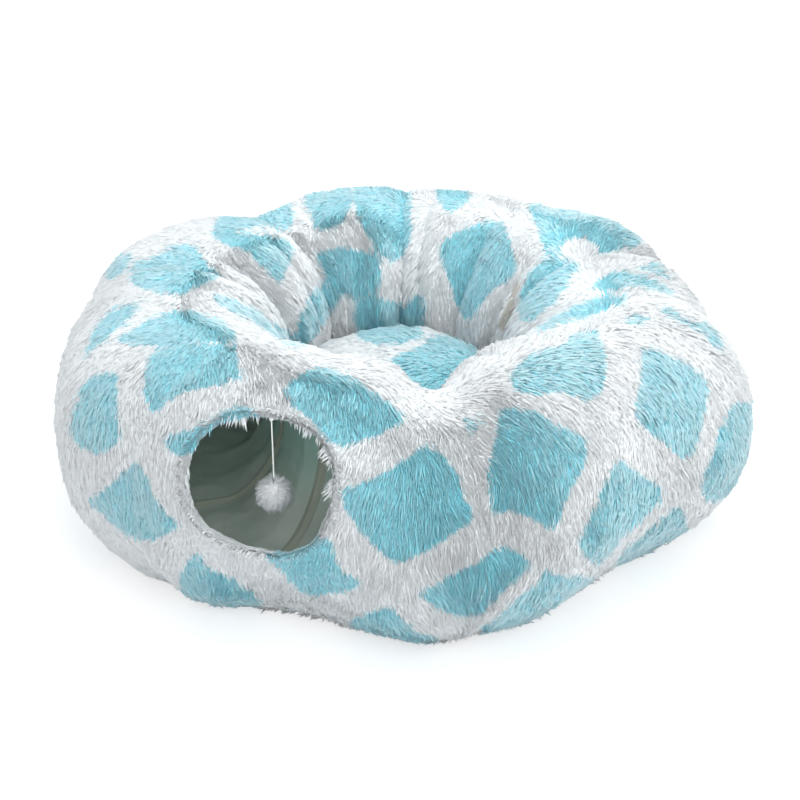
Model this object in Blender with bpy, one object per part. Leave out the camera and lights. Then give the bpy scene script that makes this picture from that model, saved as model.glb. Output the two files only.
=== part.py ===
"""Donut cat tunnel: a plush tube bent into a ring, held open by sewn-in steel hoops.

Metres, +Z up, standing on the floor at Z = 0. The front entry faces about -Y, the rear one +Y.
A place in the tube is given by an angle round the ring, counted from +X, and by a turn round the
tube's section, where 0 points away from the well and 90 degrees points up.
"""

import math

import bmesh
import bpy
from mathutils import Matrix, Vector

# Sizes of the ring
outer_radius = 0.418
tube_width = 0.290
tube_height = 0.290
sole_squash = 0.014
sole_ease = 0.006
boxiness = 2.15

# Creases between the lobes: degrees round the ring, then shares of the two crease depths
outer_crease_depth = 0.024
well_crease_depth = 0.034
crease_spread = math.radians(15.5)
crease_shares = (
    (225.0, 0.50, 0.20),
    (284.0, 0.20, 1.60),
    (338.0, 0.10, 0.25),
    (24.0, 1.00, 0.90),
    (88.0, 0.30, 1.00),
    (125.0, 0.50, 0.90),
    (168.0, 0.50, 0.70),
)
sole_crease_share = 0.45

# How the stuffed ring sags and bulges: degrees round it, then shares of the three swings below
outward_swing = 0.020
crown_swing = 0.010
tuck_swing = 0.020
sag_shares = (
    (0.0, -1.10, -0.90, 0.00),
    (30.0, 0.35, -0.30, 0.00),
    (60.0, -0.40, -0.70, 0.00),
    (90.0, 0.10, 0.00, 0.00),
    (120.0, -0.40, -1.00, 0.00),
    (150.0, 0.90, -1.20, 0.00),
    (180.0, -0.80, 0.20, 0.00),
    (205.0, 0.00, -0.50, 0.25),
    (228.0, -0.10, 0.00, -0.20),
    (250.0, -1.00, 0.00, -1.10),
    (281.0, 0.10, 0.00, 0.00),
    (315.0, -1.00, 0.00, -1.00),
    (345.0, 0.60, -0.60, 0.00),
)

# Walls, from the plush inwards
seat_gap = 0.0003
plush_wall = 0.012
lining_thickness = 0.0012
lining_back_gap = 0.0004

# Spring hoops and the tape channels that hold them
wire_radius = 0.0012
wire_gap = 0.0007
casing_tape = 0.0008
casing_foot = 0.0040
casing_crown = 0.0024
casing_seat_gap = 0.0008
hoop_flank = math.radians(14.5)

# The two entries
front_entry_angle = math.radians(248.2)
rear_entry_angle = math.radians(56.0)
entry_turn = math.radians(31.0)
entry_width = 0.168
entry_height = 0.142
entry_boxiness = 2.3
binding_tape = 0.0022
binding_proud = 0.0025

# The well floor and the loose cushion on it
well_floor_height = 0.030
well_floor_cloth = 0.0025
cushion_side_gap = 0.0020
cushion_depth = 0.150
cushion_crown_share = 0.64
cushion_cloth = 0.0022
cushion_seam_height_share = 0.50
piping_radius = 0.0030

# The toy that hangs in the front entry
knot_radius = 0.0028
cord_diameter = 0.0018
cord_length = 0.068
pompom_radius = 0.0195
toy_turn = math.radians(94.6)

# How finely the forms are divided
row_shares = (0.0, 0.08, 0.25, 0.50, 0.75, 0.92, 1.0)
entry_row_shares = (0.0, 0.08, 0.22, 0.40, 0.60, 0.78, 0.92, 1.0)
section_columns = 20
entry_points = 28
cushion_columns = 28
cushion_profile_shares = (0.0, 0.25, 0.5, 0.7, 0.85, 0.95, 1.0)
piping_sides = 6

# Worked out from the sizes above
cut_overrun = tube_width / 4
full_turn = 2 * math.pi
centre_radius = outer_radius - tube_width / 2
centre_height = tube_height / 2
crown_reach = tube_height / 2
sole_reach = tube_height / 2 + sole_squash
lining_inset = plush_wall + lining_back_gap
casing_inset = lining_inset + lining_thickness + casing_seat_gap
wire_inset = casing_inset + wire_gap + wire_radius
crease_angles = [math.radians(crease[0]) for crease in crease_shares]


def remove_everything():
    """Start from an empty scene."""
    for item in list(bpy.context.scene.objects):
        bpy.data.objects.remove(item, do_unlink=True)


def make_material(name, colour, roughness, metallic=0.0):
    """A plain material with the piece's colour."""
    material = bpy.data.materials.new(name)
    material.use_nodes = True
    shader = material.node_tree.nodes["Principled BSDF"]
    shader.inputs["Base Color"].default_value = (*colour, 1.0)
    shader.inputs["Roughness"].default_value = roughness
    shader.inputs["Metallic"].default_value = metallic
    return material


def add_object(name, mesh_data, material, smooth_angle=50.0, turn_out=True, origin=(0.0, 0.0, 0.0)):
    """Turn a bmesh into a named object with its material, turning about its origin."""
    if turn_out:
        bmesh.ops.recalc_face_normals(mesh_data, faces=mesh_data.faces)
    mesh = bpy.data.meshes.new(name)
    mesh_data.to_mesh(mesh)
    mesh_data.free()
    mesh.materials.append(material)
    mesh.shade_smooth()
    mesh.set_sharp_from_angle(angle=math.radians(smooth_angle))
    item = bpy.data.objects.new(name, mesh)
    item.location = origin
    bpy.context.scene.collection.objects.link(item)
    return item


def crease_distance(angle, crease_angle):
    """How far round the ring an angle is from a crease."""
    return abs((angle - crease_angle + math.pi) % full_turn - math.pi)


def crease_pull(angle, turn):
    """How far the creases draw the plush in at this place."""
    well_side = (1 - math.cos(turn)) / 2
    ease = 1 - (1 - sole_crease_share) * max(0.0, -math.sin(turn))
    pull = 0.0
    for crease_angle, shares in zip(crease_angles, crease_shares):
        away = crease_distance(angle, crease_angle) / crease_spread
        if away < 1:
            depth = outer_crease_depth * shares[1] * (1 - well_side)
            depth += well_crease_depth * shares[2] * well_side
            pull += depth * ease * (1 - away) ** 2
    return pull


def lobe_place(angle):
    """The lobe that an angle lies in, and how far along it, from 0 to 1."""
    for index, start in enumerate(crease_angles):
        end = crease_angles[(index + 1) % len(crease_angles)]
        span = (end - start) % full_turn
        along = (angle - start) % full_turn
        if along <= span:
            return index, along / span
    return 0, 0.0


def sag_at(angle):
    """The three sag shares at an angle, eased between the places that state them."""
    degrees = math.degrees(angle) % 360
    for row, following in zip(sag_shares, sag_shares[1:] + sag_shares[:1]):
        span = (following[0] - row[0]) % 360
        along = (degrees - row[0]) % 360 / span
        if along <= 1:
            ease = along * along * (3 - 2 * along)
            return [start + (end - start) * ease for start, end in zip(row[1:], following[1:])]
    return [0.0, 0.0, 0.0]


def sag_reach(angle, turn):
    """How far the sagging ring stands out from a plain one at this place."""
    out, rise, tuck = sag_at(angle)
    away = max(0.0, math.cos(turn))
    up = max(0.0, math.sin(turn))
    down = max(0.0, -math.sin(turn))
    return outward_swing * out * away + crown_swing * rise * up + tuck_swing * tuck * 2 * down * away


def tube_reach(angle, turn):
    """Distance from the tube's centre line to the outside of the plush."""
    across = abs(math.cos(turn)) / (tube_width / 2)
    half_height = crown_reach if math.sin(turn) > 0 else sole_reach
    up = abs(math.sin(turn)) / half_height
    plain = (across ** boxiness + up ** boxiness) ** (-1 / boxiness)
    return plain + sag_reach(angle, turn) - crease_pull(angle, turn)


def settle(height, floor):
    """Flatten a height onto a floor, with a smooth start."""
    if height <= floor - sole_ease:
        return floor
    if height < floor + sole_ease:
        return floor + (height - floor + sole_ease) ** 2 / (4 * sole_ease)
    return height


def outwards(angle):
    """The level direction away from the middle of the ring."""
    return Vector((math.cos(angle), math.sin(angle), 0.0))


def round_ring(angle):
    """The level direction along the tube."""
    return Vector((-math.sin(angle), math.cos(angle), 0.0))


def find_ring_middle():
    """Where the ring's middle goes, so that its box is centred on the origin."""
    steps = 360
    edge = [
        outwards(step * full_turn / steps) * (centre_radius + tube_reach(step * full_turn / steps, 0.0))
        for step in range(steps)
    ]
    middle_x = (max(point.x for point in edge) + min(point.x for point in edge)) / 2
    middle_y = (max(point.y for point in edge) + min(point.y for point in edge)) / 2
    return Vector((-middle_x, -middle_y, 0.0))


ring_middle = find_ring_middle()


def place(angle, turn, inset=0.0, along=0.0):
    """A point of the tube, set in from the plush and moved along the tube."""
    reach = tube_reach(angle, turn) - inset
    height = settle(centre_height + reach * math.sin(turn), inset)
    level = outwards(angle) * (centre_radius + reach * math.cos(turn))
    return ring_middle + level + round_ring(angle) * along + Vector((0.0, 0.0, height))


def section_turns():
    """The turns of the columns round the tube's section."""
    return [column * full_turn / section_columns for column in range(section_columns)]


def join_loops(mesh_data, loops, closed=False):
    """Skin a row of equal loops of vertices."""
    count = len(loops)
    for index in range(count if closed else count - 1):
        loop, following = loops[index], loops[(index + 1) % count]
        for place_now in range(len(loop)):
            place_next = (place_now + 1) % len(loop)
            mesh_data.faces.new((loop[place_now], loop[place_next], following[place_next]))
            mesh_data.faces.new((loop[place_now], following[place_next], following[place_now]))


def add_loop(mesh_data, points):
    """Vertices of one loop."""
    return [mesh_data.verts.new(point) for point in points]


def lobe_rows(index):
    """The angles of a lobe's rows, with a row on each hoop that it holds."""
    start = crease_angles[index]
    span = (crease_angles[(index + 1) % len(crease_angles)] - start) % full_turn
    held = [(angle - start) % full_turn for angle in hoop_angles if (angle - start) % full_turn < span]
    shares = entry_row_shares if len(held) > 1 else row_shares
    rows = [share * span for share in shares]
    for along in held:
        nearest = min(range(1, len(rows) - 1), key=lambda row: abs(rows[row] - along))
        rows[nearest] = along
    return [start + row for row in rows]


def find_hoop_angles():
    """One hoop in the crest of each plain lobe, and one on each side of an entry."""
    angles = []
    entries = {lobe_place(angle)[0]: angle for angle in (front_entry_angle, rear_entry_angle)}
    for index, start in enumerate(crease_angles):
        span = (crease_angles[(index + 1) % len(crease_angles)] - start) % full_turn
        if index in entries:
            angles += [entries[index] - hoop_flank, entries[index] + hoop_flank]
        else:
            angles.append(start + span / 2)
    return angles


hoop_angles = find_hoop_angles()
ring_rows = [angle for index in range(len(crease_angles)) for angle in lobe_rows(index)[:-1]]


def entry_frame(angle):
    """Middle and directions of an entry: sideways, up its face and out of the tube."""
    level = outwards(angle)
    out = level * math.cos(entry_turn) + Vector((0.0, 0.0, math.sin(entry_turn)))
    sideways = round_ring(angle)
    upwards = out.cross(sideways)
    if upwards.z < 0:
        upwards.negate()
    return place(angle, entry_turn), sideways, upwards, out


def entry_edge(turn, grow):
    """The oval of an entry, in its own plane, grown by a margin."""
    across, up = math.cos(turn), math.sin(turn)
    half_width, half_height = entry_width / 2, entry_height / 2
    reach = (abs(across) / half_width) ** entry_boxiness + (abs(up) / half_height) ** entry_boxiness
    reach = reach ** (-1 / entry_boxiness) + grow
    return across * reach, up * reach


def entry_cutter(name, angle):
    """An oval bar that cuts the plush and the lining at an entry."""
    middle, sideways, upwards, out = entry_frame(angle)
    mesh_data = bmesh.new()
    loops = []
    for depth in (-cut_overrun, cut_overrun):
        points = []
        for step in range(entry_points):
            across, up = entry_edge(step * full_turn / entry_points, binding_tape + seat_gap)
            points.append(middle + sideways * across + upwards * up + out * depth)
        loops.append(add_loop(mesh_data, points))
    join_loops(mesh_data, loops)
    for loop in loops:
        mesh_data.faces.new(loop)
    bmesh.ops.recalc_face_normals(mesh_data, faces=mesh_data.faces)
    mesh = bpy.data.meshes.new(name)
    mesh_data.to_mesh(mesh)
    mesh_data.free()
    cutter = bpy.data.objects.new(name, mesh)
    cutter.hide_render = True
    cutter.display_type = "WIRE"
    bpy.context.scene.collection.objects.link(cutter)
    return cutter


def cut(item, cutter):
    """Cut an opening through a piece."""
    modifier = item.modifiers.new("Entry", "BOOLEAN")
    modifier.operation = "DIFFERENCE"
    modifier.solver = "EXACT"
    modifier.object = cutter


def make_lobe(index, material):
    """One padded plush lobe: an open length of tube wall between two creases."""
    mesh_data = bmesh.new()
    angles = lobe_rows(index)
    outer, inner = [], []
    for row, angle in enumerate(angles):
        along = seat_gap / 2 if row == 0 else 0.0
        along = -seat_gap / 2 if row == len(angles) - 1 else along
        outer.append(add_loop(mesh_data, [place(angle, turn, 0.0, along) for turn in section_turns()]))
        inner.append(add_loop(mesh_data, [place(angle, turn, plush_wall, along) for turn in section_turns()]))
    join_loops(mesh_data, outer)
    join_loops(mesh_data, inner)
    join_loops(mesh_data, [outer[0], inner[0]])
    join_loops(mesh_data, [outer[-1], inner[-1]])
    return add_object(f"plush_lobe_{index + 1}", mesh_data, material)


def make_lining(material):
    """The thin cloth skin inside the whole ring."""
    mesh_data = bmesh.new()
    for inset in (lining_inset, lining_inset + lining_thickness):
        loops = [
            add_loop(mesh_data, [place(angle, turn, inset) for turn in section_turns()])
            for angle in ring_rows
        ]
        join_loops(mesh_data, loops, closed=True)
        if inset == lining_inset:
            bmesh.ops.recalc_face_normals(mesh_data, faces=mesh_data.faces)
            back = set(mesh_data.faces)
    face_side = [face for face in mesh_data.faces if face not in back]
    bmesh.ops.recalc_face_normals(mesh_data, faces=face_side)
    bmesh.ops.reverse_faces(mesh_data, faces=face_side)
    return add_object("tunnel_lining", mesh_data, material, turn_out=False)


def make_hoop(number, angle, material):
    """A closed hoop of spring-steel wire, bent to the tube's section."""
    mesh_data = bmesh.new()
    side = wire_radius
    loops = []
    for turn in section_turns():
        loops.append(add_loop(mesh_data, [
            place(angle, turn, wire_inset, -side),
            place(angle, turn, wire_inset - side),
            place(angle, turn, wire_inset, side),
            place(angle, turn, wire_inset + side),
        ]))
    join_loops(mesh_data, loops, closed=True)
    return add_object(f"spring_hoop_{number}", mesh_data, material, 100.0)


def beside_hoop(angle, turn, inset, side, distance):
    """A point to one side of a hoop, on the flat of the lining between its rows."""
    row = min(range(len(ring_rows)), key=lambda index: crease_distance(ring_rows[index], angle))
    here = place(angle, turn, inset)
    there = place(ring_rows[(row + side) % len(ring_rows)], turn, inset)
    return here + (there - here).normalized() * distance


def make_casing(number, angle, material):
    """The tape channel round a hoop, open towards the lining that it is sewn to."""
    mesh_data = bmesh.new()
    ceiling = wire_inset + wire_radius + wire_gap
    profile = (
        (casing_inset, -1, casing_foot),
        (ceiling + casing_tape, -1, casing_crown),
        (ceiling + casing_tape, 1, casing_crown),
        (casing_inset, 1, casing_foot),
        (casing_inset, 1, casing_foot - casing_tape),
        (ceiling, 1, casing_crown - casing_tape / 2),
        (ceiling, -1, casing_crown - casing_tape / 2),
        (casing_inset, -1, casing_foot - casing_tape),
    )
    loops = [
        add_loop(mesh_data, [beside_hoop(angle, turn, *corner) for corner in profile])
        for turn in section_turns()
    ]
    join_loops(mesh_data, loops, closed=True)
    return add_object(f"hoop_casing_{number}", mesh_data, material)


def depth_inside(point):
    """How far a point lies inside the plush, along its own turn."""
    from_middle = point - ring_middle
    angle = math.atan2(from_middle.y, from_middle.x)
    radial = math.hypot(from_middle.x, from_middle.y) - centre_radius
    height = point.z - centre_height
    return tube_reach(angle, math.atan2(height, radial)) - math.hypot(radial, height)


def find_depth(start, out, inset):
    """How far along a direction the surface at an inset lies, by halving."""
    low, high = -cut_overrun, cut_overrun
    for _ in range(40):
        middle = (low + high) / 2
        if depth_inside(start + out * middle) > inset:
            low = middle
        else:
            high = middle
    return (low + high) / 2


def make_binding(name, angle, material):
    """The tape rim sewn round an entry, through the plush and the lining."""
    middle, sideways, upwards, out = entry_frame(angle)
    mesh_data = bmesh.new()
    loops = []
    for step in range(entry_points):
        turn = step * full_turn / entry_points
        corners = []
        for grow in (0.0, binding_tape):
            across, up = entry_edge(turn, grow)
            start = middle + sideways * across + upwards * up
            outer_end = find_depth(start, out, 0.0) + binding_proud
            inner_end = find_depth(start, out, lining_inset + lining_thickness) - binding_proud
            corners.append((start + out * inner_end, start + out * outer_end))
        points = [corners[0][0], corners[0][1], corners[1][1], corners[1][0]]
        loops.append(add_loop(mesh_data, points))
    join_loops(mesh_data, loops, closed=True)
    return add_object(name, mesh_data, material)


def well_edge(angle, height):
    """How far from the ring's middle the plush is at a height under the well's waist."""
    low, high = math.pi, math.pi * 1.5
    for _ in range(40):
        middle = (low + high) / 2
        if place(angle, middle).z > height:
            low = middle
        else:
            high = middle
    point = place(angle, low) - ring_middle
    return math.hypot(point.x, point.y)


def make_well_floor(material):
    """The cloth panel across the bottom of the well, sewn to the lobes all round."""
    mesh_data = bmesh.new()
    loops = []
    for height in (well_floor_height, well_floor_height + well_floor_cloth):
        points = []
        for angle in ring_rows:
            reach = well_edge(angle, well_floor_height + well_floor_cloth) - seat_gap * 2
            points.append(ring_middle + outwards(angle) * reach + Vector((0.0, 0.0, height)))
        loops.append(add_loop(mesh_data, points))
    join_loops(mesh_data, loops)
    for loop in loops:
        mesh_data.faces.new(loop)
    return add_object("well_floor", mesh_data, material)


def cushion_height(share, depth, fullness):
    """Height of a stuffed half over its seam, at a share of the radius."""
    return depth * max(0.0, 1 - share ** fullness) ** (1 / fullness)


def spun(name, profile, material):
    """Turn a profile of radius and height round the cushion's axis."""
    mesh_data = bmesh.new()
    verts = [mesh_data.verts.new((radius, 0.0, height)) for radius, height in profile]
    edges = [mesh_data.edges.new(pair) for pair in zip(verts, verts[1:])]
    if profile[0][0] > 0:
        edges.append(mesh_data.edges.new((verts[-1], verts[0])))
    bmesh.ops.spin(
        mesh_data, geom=verts + edges, cent=(0.0, 0.0, 0.0), axis=(0.0, 0.0, 1.0),
        angle=full_turn, steps=cushion_columns, use_merge=True,
    )
    bmesh.ops.remove_doubles(mesh_data, verts=mesh_data.verts, dist=seat_gap / 10)
    return add_object(name, mesh_data, material, origin=ring_middle)


def make_cushion(cover_material, under_material, piping_material, filling_material):
    """The loose cushion: two covers sewn at a piped seam over a filling."""
    radius = centre_radius - tube_width / 2 - cushion_side_gap
    cover_radius = radius - piping_radius
    bottom = well_floor_height + well_floor_cloth + seat_gap
    seam = bottom + cushion_depth * cushion_seam_height_share
    rise = cushion_depth * (1 - cushion_seam_height_share)
    drop = cushion_depth * cushion_seam_height_share
    fullness = 1 / (1 - cushion_crown_share)
    half_gap = seat_gap / 2

    def half(sign, depth, inset):
        """Profile of one half, from the axis out to the seam."""
        return [
            (share * (cover_radius - inset),
             seam + sign * (half_gap + cushion_height(share, depth - half_gap - inset, fullness)))
            for share in cushion_profile_shares
        ]

    def shell(name, sign, depth, material):
        """One cover, as a skin of even thickness that is open at the seam."""
        outside = half(sign, depth, 0.0)
        inside = half(sign, depth, cushion_cloth)
        return spun(name, outside + inside[::-1], material)

    shell("cushion_upper_cover", 1, rise, cover_material)
    shell("cushion_lower_cover", -1, drop, under_material)
    inset = cushion_cloth + seat_gap
    filling = half(1, rise, inset)[:-1] + [(cover_radius - inset, seam)] + half(-1, drop, inset)[-2::-1]
    spun("cushion_filling", filling, filling_material)
    piping = [
        (cover_radius + seat_gap + piping_radius * (1 + math.cos(full_turn * side / piping_sides)) / 2,
         seam + piping_radius * math.sin(full_turn * side / piping_sides))
        for side in range(piping_sides)
    ]
    spun("cushion_piping", piping, piping_material)


def make_toy(knot_material, cord_material, pompom_material):
    """A knot on the rim, the string that hangs from it, and its pompom."""
    middle, sideways, upwards, out = entry_frame(front_entry_angle)
    across, up = entry_edge(toy_turn, 0.0)
    under_rim = middle + sideways * across + upwards * (up - seat_gap - knot_radius)
    wall_middle = (lining_inset + lining_thickness) / 2
    knot = under_rim + out * find_depth(under_rim, out, wall_middle)

    mesh_data = bmesh.new()
    bmesh.ops.create_icosphere(mesh_data, subdivisions=2, radius=knot_radius)
    add_object("toy_knot", mesh_data, knot_material, origin=knot)

    top = -knot_radius - seat_gap
    bottom = top - cord_length
    curve = bpy.data.curves.new("toy_cord", "CURVE")
    curve.dimensions = "3D"
    curve.bevel_depth = cord_diameter / 2
    curve.bevel_resolution = 2
    curve.use_fill_caps = True
    spline = curve.splines.new("POLY")
    count = round(cord_length / (3 * cord_diameter)) + 1
    spline.points.add(count - 1)
    for index, point in enumerate(spline.points):
        point.co = (0.0, 0.0, top + (bottom - top) * index / (count - 1), 1.0)
    curve.materials.append(cord_material)
    cord = bpy.data.objects.new("toy_cord", curve)
    cord.location = knot
    bpy.context.scene.collection.objects.link(cord)

    mesh_data = bmesh.new()
    ball = Vector((0.0, 0.0, bottom - seat_gap - pompom_radius))
    bmesh.ops.create_icosphere(
        mesh_data, subdivisions=3, radius=pompom_radius, matrix=Matrix.Translation(ball))
    add_object("pompom", mesh_data, pompom_material, origin=knot)
    print("toy knot", [round(value, 5) for value in knot])
    print("pompom middle", [round(value, 5) for value in knot + ball])
    print("toy sideways axis", [round(value, 5) for value in sideways])
    print("toy outwards axis", [round(value, 5) for value in outwards(front_entry_angle)])


def build():
    """Make every piece of the tunnel."""
    remove_everything()
    plush = make_material("plush", (0.42, 0.68, 0.76), 0.95)
    lining_cloth = make_material("lining_cloth", (0.30, 0.36, 0.33), 0.8)
    steel = make_material("spring_steel", (0.45, 0.46, 0.48), 0.35, 1.0)
    tape = make_material("brown_tape", (0.38, 0.30, 0.22), 0.85)
    rim = make_material("rim_tape", (0.80, 0.76, 0.70), 0.85)
    floor_cloth = make_material("floor_cloth", (0.55, 0.58, 0.57), 0.85)
    cushion_plush = make_material("cushion_plush", (0.75, 0.84, 0.88), 0.95)
    cushion_under = make_material("cushion_under", (0.62, 0.64, 0.63), 0.85)
    piping_cord = make_material("piping_cord", (0.86, 0.86, 0.85), 0.85)
    filling = make_material("filling", (0.90, 0.90, 0.88), 0.95)
    thread = make_material("thread", (0.88, 0.88, 0.86), 0.8)
    fluff = make_material("fluff", (0.80, 0.80, 0.78), 0.95)

    cutters = {
        lobe_place(angle)[0]: entry_cutter(name, angle)
        for name, angle in (("front_cutter", front_entry_angle), ("rear_cutter", rear_entry_angle))
    }
    for index in range(len(crease_angles)):
        lobe = make_lobe(index, plush)
        if index in cutters:
            cut(lobe, cutters[index])
    lining = make_lining(lining_cloth)
    for cutter in cutters.values():
        cut(lining, cutter)
    for number, angle in enumerate(hoop_angles, 1):
        make_hoop(number, angle, steel)
        make_casing(number, angle, tape)
    make_binding("front_entry_binding", front_entry_angle, rim)
    make_binding("rear_entry_binding", rear_entry_angle, rim)
    make_well_floor(floor_cloth)
    make_cushion(cushion_plush, cushion_under, piping_cord, filling)
    make_toy(thread, thread, fluff)


build()
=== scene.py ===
# %% [markdown]
# # A donut cat tunnel
# This tunnel is a plush tube bent into a ring, with two entries, a cushion in the middle and a
# pompom on a string. The rigid model comes from the frame, and this lesson dresses it: smooth
# plush skins, the pile that grows on them, the thin lining inside, and the small sewn parts.

# %% Load the frame
import math

import bmesh
import bpy
import numpy as np
from mathutils import Matrix, Vector, noise


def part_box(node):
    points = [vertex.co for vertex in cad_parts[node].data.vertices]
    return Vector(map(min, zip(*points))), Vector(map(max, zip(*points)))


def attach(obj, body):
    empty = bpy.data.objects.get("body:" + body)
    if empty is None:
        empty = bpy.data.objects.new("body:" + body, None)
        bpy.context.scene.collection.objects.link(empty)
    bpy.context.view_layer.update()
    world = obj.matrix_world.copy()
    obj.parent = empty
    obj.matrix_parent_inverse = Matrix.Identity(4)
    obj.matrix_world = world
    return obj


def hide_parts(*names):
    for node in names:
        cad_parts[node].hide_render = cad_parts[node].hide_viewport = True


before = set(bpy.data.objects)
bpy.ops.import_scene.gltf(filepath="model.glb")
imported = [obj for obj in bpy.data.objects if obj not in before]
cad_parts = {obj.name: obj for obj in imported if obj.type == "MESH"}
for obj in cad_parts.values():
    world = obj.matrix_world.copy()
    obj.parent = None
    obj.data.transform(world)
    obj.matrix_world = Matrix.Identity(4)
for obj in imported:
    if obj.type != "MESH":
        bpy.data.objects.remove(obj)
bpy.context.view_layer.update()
full_turn = 2 * math.pi
up = Vector((0.0, 0.0, 1.0))
print("Nodes in the frame:", len(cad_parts))

# %% [markdown]
# ## The camera
# A camera is settled first, because the print on the plush is laid out in the photograph's own
# pixels. Its height angle, distance and focal length came from the outline of the ring, and the
# small shift puts the aim point where the photograph has it.

# %% Set up the camera
picture_side = 800
film_width = 36.0
focal_pixels = 1697.0
view_angle = math.radians(27.5)
view_distance = 2.1
aim = Vector((0.0, 0.0, 0.13))
aim_pixel = (403.3, 393.3)

camera_data = bpy.data.cameras.new("camera")
camera_data.lens = film_width * focal_pixels / picture_side
camera_data.sensor_width = film_width
camera_data.shift_x = 0.5 - aim_pixel[0] / picture_side
camera_data.shift_y = aim_pixel[1] / picture_side - 0.5
camera = bpy.data.objects.new("camera", camera_data)
camera.location = aim + view_distance * Vector((0.0, -math.cos(view_angle), math.sin(view_angle)))
camera.rotation_euler = (math.pi / 2 - view_angle, 0.0, 0.0)
bpy.context.scene.collection.objects.link(camera)
bpy.context.scene.camera = camera
camera_place = camera.location.copy()
camera_turn = camera.rotation_euler.to_matrix()
print("Lens", round(camera_data.lens, 1), "mm")

# %% [markdown]
# ## Light and floor
# The photograph is a studio shot on white: light from all sides, with a broad soft light above
# that leaves a faint shadow under the ring. A pale world does the first. Three large lamps do the
# second, one above, one in front and one at the right. The floor and the backdrop stay white.

# %% Light the studio
world = bpy.data.worlds.new("studio")
bpy.context.scene.world = world
bpy.context.scene.view_settings.view_transform = "Standard"


class Wire:
    """An output of a node, which Python's own signs can calculate with."""

    def __init__(self, tree, socket):
        self.tree = tree
        self.socket = socket

    def __getitem__(self, name):
        return Wire(self.tree, self.socket.node.outputs[name])

    def __add__(self, other):
        return self.tree.maths("ADD", self, other)

    def __radd__(self, other):
        return self.tree.maths("ADD", other, self)

    def __sub__(self, other):
        return self.tree.maths("SUBTRACT", self, other)

    def __rsub__(self, other):
        return self.tree.maths("SUBTRACT", other, self)

    def __mul__(self, other):
        return self.tree.maths("MULTIPLY", self, other)

    def __rmul__(self, other):
        return self.tree.maths("MULTIPLY", other, self)


class Tree:
    """A node tree, with one way to add a node and feed its sockets."""

    def __init__(self, node_tree):
        self.node_tree = node_tree
        node_tree.nodes.clear()

    def node(self, kind, settings=None, inputs=None):
        """Add a node, with its settings first and then what its sockets take."""
        made = self.node_tree.nodes.new(kind)
        for name, value in (settings or {}).items():
            setattr(made, name, value)
        for key, value in (inputs or {}).items():
            if isinstance(value, Wire):
                self.node_tree.links.new(value.socket, made.inputs[key])
            else:
                made.inputs[key].default_value = value
        return Wire(self, made.outputs[0]) if len(made.outputs) else made

    def maths(self, operation, *values):
        """A Math node on one to three values."""
        return self.node("ShaderNodeMath", {"operation": operation}, dict(enumerate(values)))

    def mix(self, factor, first, second):
        """A colour between two colours."""
        settings = {"data_type": "RGBA"}
        made = self.node("ShaderNodeMix", settings, {0: factor, 6: first, 7: second})
        return Wire(self, made.socket.node.outputs[2])

    def tint(self, colour, brightness):
        """A colour made lighter or darker by a value."""
        settings = {"operation": "SCALE"}
        return self.node("ShaderNodeVectorMath", settings, {0: colour, "Scale": brightness})

    def between(self, value, low, high, to_low=0.0, to_high=1.0):
        """A value eased from one range into another."""
        return self.node("ShaderNodeMapRange", {"interpolation_type": "SMOOTHSTEP"}, {
            "Value": value, "From Min": low, "From Max": high, "To Min": to_low, "To Max": to_high})

    def clouds(self, size, detail=2.0):
        """Soft noise whose blotches are about one size, in metres."""
        where = self.node("ShaderNodeTexCoord")["Object"]
        return self.node("ShaderNodeTexNoise", {}, {
            "Vector": where, "Scale": 1 / size, "Detail": detail})["Fac"]

    def bump(self, height, distance, strength):
        """A normal that follows a height, in metres."""
        return self.node("ShaderNodeBump", {}, {
            "Height": height, "Distance": distance, "Strength": strength})

    def kept(self, attribute):
        """A value that the mesh keeps under a name."""
        return self.node("ShaderNodeAttribute", {"attribute_name": attribute})["Fac"]


world.use_nodes = True
studio = Tree(world.node_tree)
seen = studio.node("ShaderNodeLightPath")["Is Camera Ray"]
world_strength = 1.0
backdrop = studio.node("ShaderNodeBackground", {}, {
    "Color": (0.95, 0.98, 1.0, 1.0), "Strength": world_strength})
white_out = studio.node("ShaderNodeBackground", {}, {
    "Color": (1.0, 1.0, 1.0, 1.0), "Strength": 1.0})
shown = studio.node("ShaderNodeMixShader", {}, {0: seen, 1: backdrop, 2: white_out})
studio.node("ShaderNodeOutputWorld", {}, {"Surface": shown})


lamp_aim = Vector((0.0, 0.0, 0.1))


def add_lamp(name, spot, side, watts, colour):
    """A square studio lamp that looks at the tunnel."""
    lamp = bpy.data.lights.new(name, "AREA")
    lamp.size = side
    lamp.energy = watts
    lamp.color = colour
    item = bpy.data.objects.new(name, lamp)
    item.location = spot
    item.rotation_euler = (lamp_aim - Vector(spot)).to_track_quat("-Z", "Y").to_euler()
    bpy.context.scene.collection.objects.link(item)


add_lamp("top_light", (0.3, 0.2, 2.6), 2.0, 39.0, (0.93, 0.99, 1.0))
add_lamp("front_light", (-0.4, -2.6, 1.7), 1.8, 13.0, (0.99, 0.99, 0.99))
add_lamp("right_light", (1.0, -2.2, 2.0), 1.8, 32.0, (0.97, 0.99, 1.0))
print("World strength", world_strength)

# %% [markdown]
# The floor is one large plain sheet. The camera sees it lifted to white, and the tunnel is lit by
# its own pale colour.

# %% Lay the floor
floor_side = 12.0
floor_mesh = bmesh.new()
bmesh.ops.create_grid(floor_mesh, x_segments=1, y_segments=1, size=floor_side / 2)
floor_data = bpy.data.meshes.new("floor")
floor_mesh.to_mesh(floor_data)
floor_mesh.free()
studio_floor = bpy.data.objects.new("studio_floor", floor_data)
bpy.context.scene.collection.objects.link(studio_floor)


def new_material(name):
    """A material with an empty node tree."""
    material = bpy.data.materials.new(name)
    material.use_nodes = True
    return material, Tree(material.node_tree)


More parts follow.
